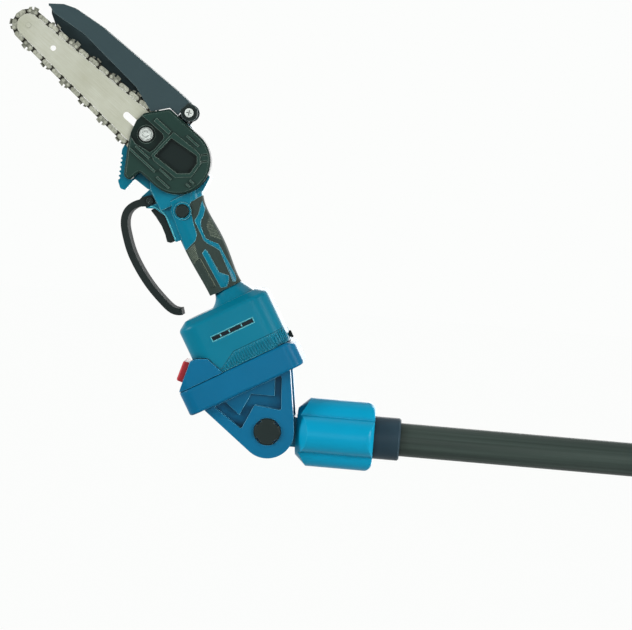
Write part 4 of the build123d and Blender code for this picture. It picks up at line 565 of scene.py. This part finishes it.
# Handles: inlays that fill the openings in the rubber, and ribbed thumb and finger panels
REAR_INLAY = [
    (36.2, 223.9), (35.8, 216.2), (31.6, 210.1), (28.2, 207.9), (25.6, 202.4), (24.9, 190.2),
    (27.8, 186.3), (33.3, 180.3), (33.9, 173.4), (34.7, 148.5), (34.3, 144.7), (32.7, 141.4),
    (30.8, 143.0), (31.4, 151.3), (32.1, 174.6), (29.7, 178.8), (24.7, 185.5), (22.9, 189.2),
    (22.7, 209.5), (28.8, 213.8),
]
SIDE_INLAY = [
    (16.2, 178.8), (20.1, 180.9), (21.3, 177.7), (22.7, 155.8), (29.0, 149.1), (28.3, 146.1),
    (23.5, 140.5), (18.0, 142.0),
]
INLAY_RISE, INLAY_BEVEL, INLAY_PASSES = 0.7, 0.6, 3
FINGER_PANEL = [
    (5.6, 172.8), (10.4, 175.2), (11.6, 173.6), (13.3, 145.6), (11.6, 145.0), (7.6, 147.0),
]
PANEL_RISE, PANEL_BEVEL, PANEL_GRID = 0.6, 0.4, 1.5
FINGER_EDGE = [(5.2, 173.6), (10.8, 176.4), (12.3, 174.6), (14.0, 144.8)]
FINGER_LINE = (0.9, 0.7)
GRIP_PITCH = 1.35
THUMB_RIBS = 17
THUMB_RIB = (0.75, 0.45)
THUMB_START = 185.2
THUMB_FRONT, THUMB_BACK = 30.2, 37.6
THUMB_LOW, THUMB_HIGH = 190.0, 200.0  # the panel's front edge slopes back beyond these
LOW_SLOPE, HIGH_SLOPE = 1.1, 0.7
THUMB_FALL = 2.0
FINGER_RIBS = 11
FINGER_RIB = (0.75, 0.4)
FINGER_START = 174.6
FINGER_FRONT, FINGER_BACK = 3.6, 11.0
FINGER_GROWTH = 0.25  # each rib reaches further back than the one below
FINGER_CLIMB = 1.6  # how far a rib's ends stand below and above its middle


def handle_detail(view, grip, near, far, body, label):
    """Inlays, finger panels and grip ribs on both sides of one handle."""
    inlays, panels, ribs = bmesh.new(), bmesh.new(), bmesh.new()
    for shell, side in ((near, NEAR), (far, FAR)):
        for outline in (REAR_INLAY, SIDE_INLAY):
            both = [shell, grip]
            plate(inlays, view, both, side, outline, INLAY_RISE, INLAY_BEVEL, passes=INLAY_PASSES)
        plate(panels, view, [grip], side, FINGER_PANEL, PANEL_RISE, PANEL_BEVEL, grid=PANEL_GRID)
        bead(ribs, trail(view, [grip], side, FINGER_EDGE), *FINGER_LINE)
        for i in range(THUMB_RIBS):
            height = THUMB_START + i * GRIP_PITCH
            below, above = max(0.0, THUMB_LOW - height), max(0.0, height - THUMB_HIGH)
            front = THUMB_FRONT + below * LOW_SLOPE + above * HIGH_SLOPE
            line = [(front, height), (THUMB_BACK, height - THUMB_FALL)]
            bead(ribs, trail(view, [grip], side, line, FINE_STEP), *THUMB_RIB)
        for i in range(FINGER_RIBS):
            height = FINGER_START + i * GRIP_PITCH
            back_end = (FINGER_BACK + i * FINGER_GROWTH, height + FINGER_CLIMB)
            line = [(FINGER_FRONT, height - FINGER_CLIMB), back_end]
            bead(ribs, trail(view, [grip], side, line, FINE_STEP), *FINGER_RIB)
    add_piece(f"{label}_inlays", inlays, teal_abs, body, crisp=True)
    add_piece(f"{label}_finger_panels", panels, grip_tpe, body, crisp=True)
    add_piece(f"{label}_grip_ribs", ribs, rib_tpe, body)


handle_detail(HEAD, "handle_grip", "housing_near", "housing_far", "saw", "handle")
handle_detail(
    REAR, "rear_grip", "rear_shell_near", "rear_shell_far", "lower_pole", "rear_handle"
)

# Trigger shroud: a rolled lip beside the trigger, on both sides
LIP = [
    (-13.6, 241.4), (-9.0, 239.4), (-5.6, 236.4), (-2.4, 231.6), (-0.4, 226.0), (-1.0, 212.0),
    (-2.0, 200.4),
]
LIP_BEAD = (1.2, 0.7)
LIP_STEP = 1.2
lip = bmesh.new()
for shell, side in (("housing_near", NEAR), ("housing_far", FAR)):
    bead(lip, trail(HEAD, [shell], side, LIP, LIP_STEP), *LIP_BEAD)
add_piece("shroud_lip", lip, pale_teal_abs, "saw")

# Knuckle strap: low bands across its outer face
STRAP_BANDS = 11
STRAP_BAND = (1.6, 0.5)
STRAP_TOP = 226.0
STRAP_PITCH = 7.6
STRAP_FRONT = -90  # clear of the strap's outer face
STRAP_STEP = 1.3
STRAP_SPOTS = range(-5, 6)  # steps across the strap, from its middle
bands = bmesh.new()
backward = (HEAD.to_3x3() @ Vector((1, 0, 0))).normalized()
for i in range(STRAP_BANDS):
    height = STRAP_TOP - i * STRAP_PITCH
    starts = [HEAD @ Vector((STRAP_FRONT, height, w * STRAP_STEP)) for w in STRAP_SPOTS]
    band = [first_hit(["knuckle_guard"], start, backward) for start in starts]
    bead(bands, [spot for spot in band if spot], *STRAP_BAND)
add_piece("strap_bands", bands, strap_nylon, "saw")

# Cover: a satin film in its recess
THIN_BEVEL = 0.3
LABEL = [
    (21.2, 12.2), (46.6, 15.7), (48.7, 15.6), (52.3, 11.5), (53.4, 1.3), (45.6, -5.6),
    (20.5, -7.4),
]
LABEL_RISE = 0.35
label = bmesh.new()
plate(label, BAR, ["side_cover"], NEAR, LABEL, LABEL_RISE, THIN_BEVEL)
add_piece("cover_label", label, label_film, "saw", crisp=True)

# Guard: a black cap over its hinge tab
CAP_RADIUS = 7.5
CAP_START, CAP_STEP, CAP_POINTS = -125, 10, 25  # degrees round the hinge
CAP_ANGLES = [radians(CAP_START + CAP_STEP * i) for i in range(CAP_POINTS)]
CAP_ROUND = [
    (HINGE[0] + CAP_RADIUS * cos(a), HINGE[1] + CAP_RADIUS * sin(a)) for a in CAP_ANGLES
]
CAP = [(8.6, 38.2), *CAP_ROUND, (9.6, 48.9)]
CAP_RISE, CAP_GRID = 0.3, 1.0
cap = bmesh.new()
plate(cap, BAR, ["chain_guard"], NEAR, CAP, CAP_RISE, THIN_BEVEL, grid=CAP_GRID)
add_piece("guard_hinge_cap", cap, black_abs, "guard", crisp=True)

# Power lead: a coil, and a straight tail into the rear handle
LEAD_RADIUS = 1.6 * MM
LEAD_SIDES = 8
COIL_RADIUS = 5.2 * MM
COIL_PITCH = 6.5 * MM
COIL_SIDES = 16  # points in a turn
TAIL_LENGTH = 130 * MM
TAIL_STEPS = 12
OFF_AXIS = Vector((1, 0.31, 0.17))  # a direction that the lead never takes


def lead_route(first_x, coil_end, axis_y, axis_z):
    """The lead's middle line: turns that close up over the last one, then the straight tail."""
    length = coil_end - first_x
    steps = round(length / COIL_PITCH * COIL_SIDES)
    route = []
    for i in range(steps + 1):
        turn = 2 * pi * i / COIL_SIDES
        wide = COIL_RADIUS * min(1.0, (steps - i) / COIL_SIDES)
        x = first_x + length * i / steps
        route.append(Vector((x, axis_y + wide * cos(turn), axis_z + wide * sin(turn))))
    for i in range(1, TAIL_STEPS + 1):
        route.append(Vector((coil_end + TAIL_LENGTH * i / TAIL_STEPS, axis_y, axis_z)))
    return route


def wire(mesh, route):
    """Sweep the lead's round section along a route without a twist."""
    rings = []
    side = None
    for i, spot in enumerate(route):
        ahead = (route[min(i + 1, len(route) - 1)] - route[max(i - 1, 0)]).normalized()
        if side is None:
            side = ahead.cross(OFF_AXIS).normalized()
        else:
            side = (side - ahead * side.dot(ahead)).normalized()
        over = ahead.cross(side)
        ring = []
        for k in range(LEAD_SIDES):
            turn = 2 * pi * k / LEAD_SIDES
            out = side * cos(turn) + over * sin(turn)
            ring.append(mesh.verts.new(spot + out * LEAD_RADIUS))
        rings.append(ring)
    skin(mesh, rings)
    mesh.faces.new(rings[0])
    mesh.faces.new(rings[-1])


lead_start, lead_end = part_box("power_cable")
lead_axis = (lead_start + lead_end) / 2
first_x = lead_start.x + LEAD_RADIUS
coil_end = lead_end.x - TAIL_LENGTH
lead = bmesh.new()
wire(lead, lead_route(first_x, coil_end, lead_axis.y, lead_axis.z))
coil = add_piece("coiled_lead", lead, cable_rubber, None)
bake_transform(coil)
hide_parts("power_cable")

# Motor drum: vents and fins in the ring sunk into its back
VENTS = 16
FIN_REACH, FIN = (8.6, 20.6), (1.6, 1.0)
SLOT_REACH, SLOT = (10.5, 19.0), (2.6, 0.25)
fins, slots = bmesh.new(), bmesh.new()
for i in range(VENTS):
    turn = 2 * pi * i / VENTS
    for mesh, reach, angle, size in (
        (fins, FIN_REACH, turn, FIN),
        (slots, SLOT_REACH, turn + pi / VENTS, SLOT),
    ):
        line = [(DRUM[0] + r * cos(angle), DRUM[1] + r * sin(angle)) for r in reach]
        bead(mesh, trail(BAR, ["housing_far"], FAR, line), *size)
add_piece("motor_vent_fins", fins, teal_abs, "saw")
add_piece("motor_vent_slots", slots, smoked_pc, "saw")

# Battery: ribbed panels in its sunk sides
PACK_PANEL = [(-41.9, 44.6), (41.9, 44.6), (38.7, 62.4), (-38.7, 62.4)]
PACK_RISE = 0.35
PACK_RIBS = 9
PACK_RIB = (2.4, 0.95)
PACK_START, PACK_PITCH = -34.0, 8.0
PACK_LOW, PACK_HIGH = 46.0, 61.0
PACK_LEAN = 4.0
pack, pack_ribs = bmesh.new(), bmesh.new()
for side in (NEAR, FAR):
    plate(pack, REAR, ["battery_case"], side, PACK_PANEL, PACK_RISE, THIN_BEVEL)
    for i in range(PACK_RIBS):
        x = PACK_START + i * PACK_PITCH
        line = [(x, PACK_LOW), (x + PACK_LEAN, PACK_HIGH)]
        bead(pack_ribs, trail(REAR, ["battery_case"], side, line), *PACK_RIB)
add_piece("battery_panels", pack, black_abs, "battery", crisp=True)
add_piece("battery_ribs", pack_ribs, black_abs, "battery")

# Studio: pale floor, white surroundings and large soft lamps all round
FLOOR_SIZE = 30
FLOOR_DROP = 0.9
FLOOR_ROUGHNESS = 0.9
FLOOR_GLOW = 0.985  # share of the plain shade in what is seen; the rest takes the shadow
WORLD_LIGHT = 0.2  # strength on the object, where what is seen has 1


def seen_rays(owner):
    """The rays that see a background: straight on, mirrored, or through something clear."""
    ray = add_node(owner, "ShaderNodeLightPath")
    kinds = {0: ray.outputs["Is Camera Ray"], 1: ray.outputs["Is Glossy Ray"]}
    seen = add_node(owner, "ShaderNodeMath", kinds, operation="MAXIMUM")
    kinds = {0: seen.outputs["Value"], 1: ray.outputs["Is Transmission Ray"]}
    return add_node(owner, "ShaderNodeMath", kinds, operation="MAXIMUM").outputs["Value"]


def studio_white(name, seen, lit):
    """A surface that is seen as a plain pale shade, and that still takes a soft shadow."""
    material = bpy.data.materials.new(name)
    material.use_nodes = True
    shader = material.node_tree.nodes["Principled BSDF"]
    shader.inputs["Base Color"].default_value = linear(lit)
    shader.inputs["Roughness"].default_value = FLOOR_ROUGHNESS
    output = material.node_tree.nodes["Material Output"]
    glow = add_node(material, "ShaderNodeEmission", {"Color": linear(seen), "Strength": 1.0})
    part = {0: seen_rays(material), 1: FLOOR_GLOW}
    share = add_node(material, "ShaderNodeMath", part, operation="MULTIPLY").outputs["Value"]
    layers = {"Fac": share, 1: shader.outputs["BSDF"], 2: glow.outputs["Emission"]}
    mix = add_node(material, "ShaderNodeMixShader", layers)
    link(material, mix.outputs["Shader"], output.inputs["Surface"])
    return material


bpy.ops.mesh.primitive_plane_add(size=FLOOR_SIZE, location=(0, 0, -FLOOR_DROP))
floor = bpy.context.object
floor.name = "floor"
floor.data.materials.append(studio_white("floor_white", "FDFEFD", "B0B2B1"))

world = bpy.context.scene.world or bpy.data.worlds.new("studio")
bpy.context.scene.world = world
world.use_nodes = True
sky = world.node_tree.nodes["Background"]
span = {"Value": seen_rays(world), "To Min": WORLD_LIGHT, "To Max": 1.0}
level = add_node(world, "ShaderNodeMapRange", span)
link(world, level.outputs["Result"], sky.inputs["Strength"])
sky.inputs["Color"].default_value = linear("FCFDFC")

# Each lamp's place, what it points at, its width in metres and its power in watts
LAMPS = {
    "left": ((-2.4, -0.8, 0.45), (-0.7, 0, 0.15), 0.7, 33),
    "right": ((1.8, -1.2, 0.6), (-0.6, 0, 0.15), 1.0, 69),
    "front": ((-0.3, -2.6, 0.3), (-0.5, 0, 0.1), 1.2, 13),
    "top": ((-0.8, 0.6, 2.2), (-0.6, 0, 0.1), 1.2, 3),
    "back": ((-0.2, 2.4, 0.3), (-0.3, 0, 0.1), 1.6, 26),
}
for name, (place, target, width, power) in LAMPS.items():
    lamp = bpy.data.objects.new(name, bpy.data.lights.new(name, "AREA"))
    lamp.data.size = width
    lamp.data.energy = power
    lamp.location = place
    lamp.rotation_euler = (Vector(target) - Vector(place)).to_track_quat("-Z", "Y").to_euler()
    bpy.context.scene.collection.objects.link(lamp)

# Camera at the photograph's view: the pivot's place in the picture and the pole's slope set it
PICTURE = (632, 630)
SENSOR = 36.0
AZIMUTH = radians(2)
ELEVATION = radians(4)
DISTANCE = 2.0
METRES_PER_PIXEL = 0.00096
PIVOT_PIXEL = (269.0, 428.2)
POLE_FALL = 0.085

right = Vector((cos(AZIMUTH), sin(AZIMUTH), 0))
back = Vector((sin(AZIMUTH) * cos(ELEVATION), -cos(AZIMUTH) * cos(ELEVATION), sin(ELEVATION)))
up = back.cross(right)
pole = Vector((1, 0, 0))
roll = -atan(POLE_FALL) - atan2(pole.dot(up), pole.dot(right))
view_right = cos(roll) * right - sin(roll) * up
view_up = sin(roll) * right + cos(roll) * up
aside = (PIVOT_PIXEL[0] - PICTURE[0] / 2) * METRES_PER_PIXEL
below = (PIVOT_PIXEL[1] - PICTURE[1] / 2) * METRES_PER_PIXEL
stand = PIVOT + back * DISTANCE - view_right * aside + view_up * below
facing = Matrix((view_right, view_up, back)).transposed().to_4x4()

camera = bpy.data.objects.new("camera", bpy.data.cameras.new("camera"))
camera.data.sensor_fit = "HORIZONTAL"
camera.data.sensor_width = SENSOR
camera.data.lens = SENSOR * DISTANCE / METRES_PER_PIXEL / PICTURE[0]
camera.matrix_world = Matrix.Translation(stand) @ facing
bpy.context.scene.collection.objects.link(camera)
bpy.context.scene.camera = camera
bpy.context.scene.view_settings.view_transform = "Standard"
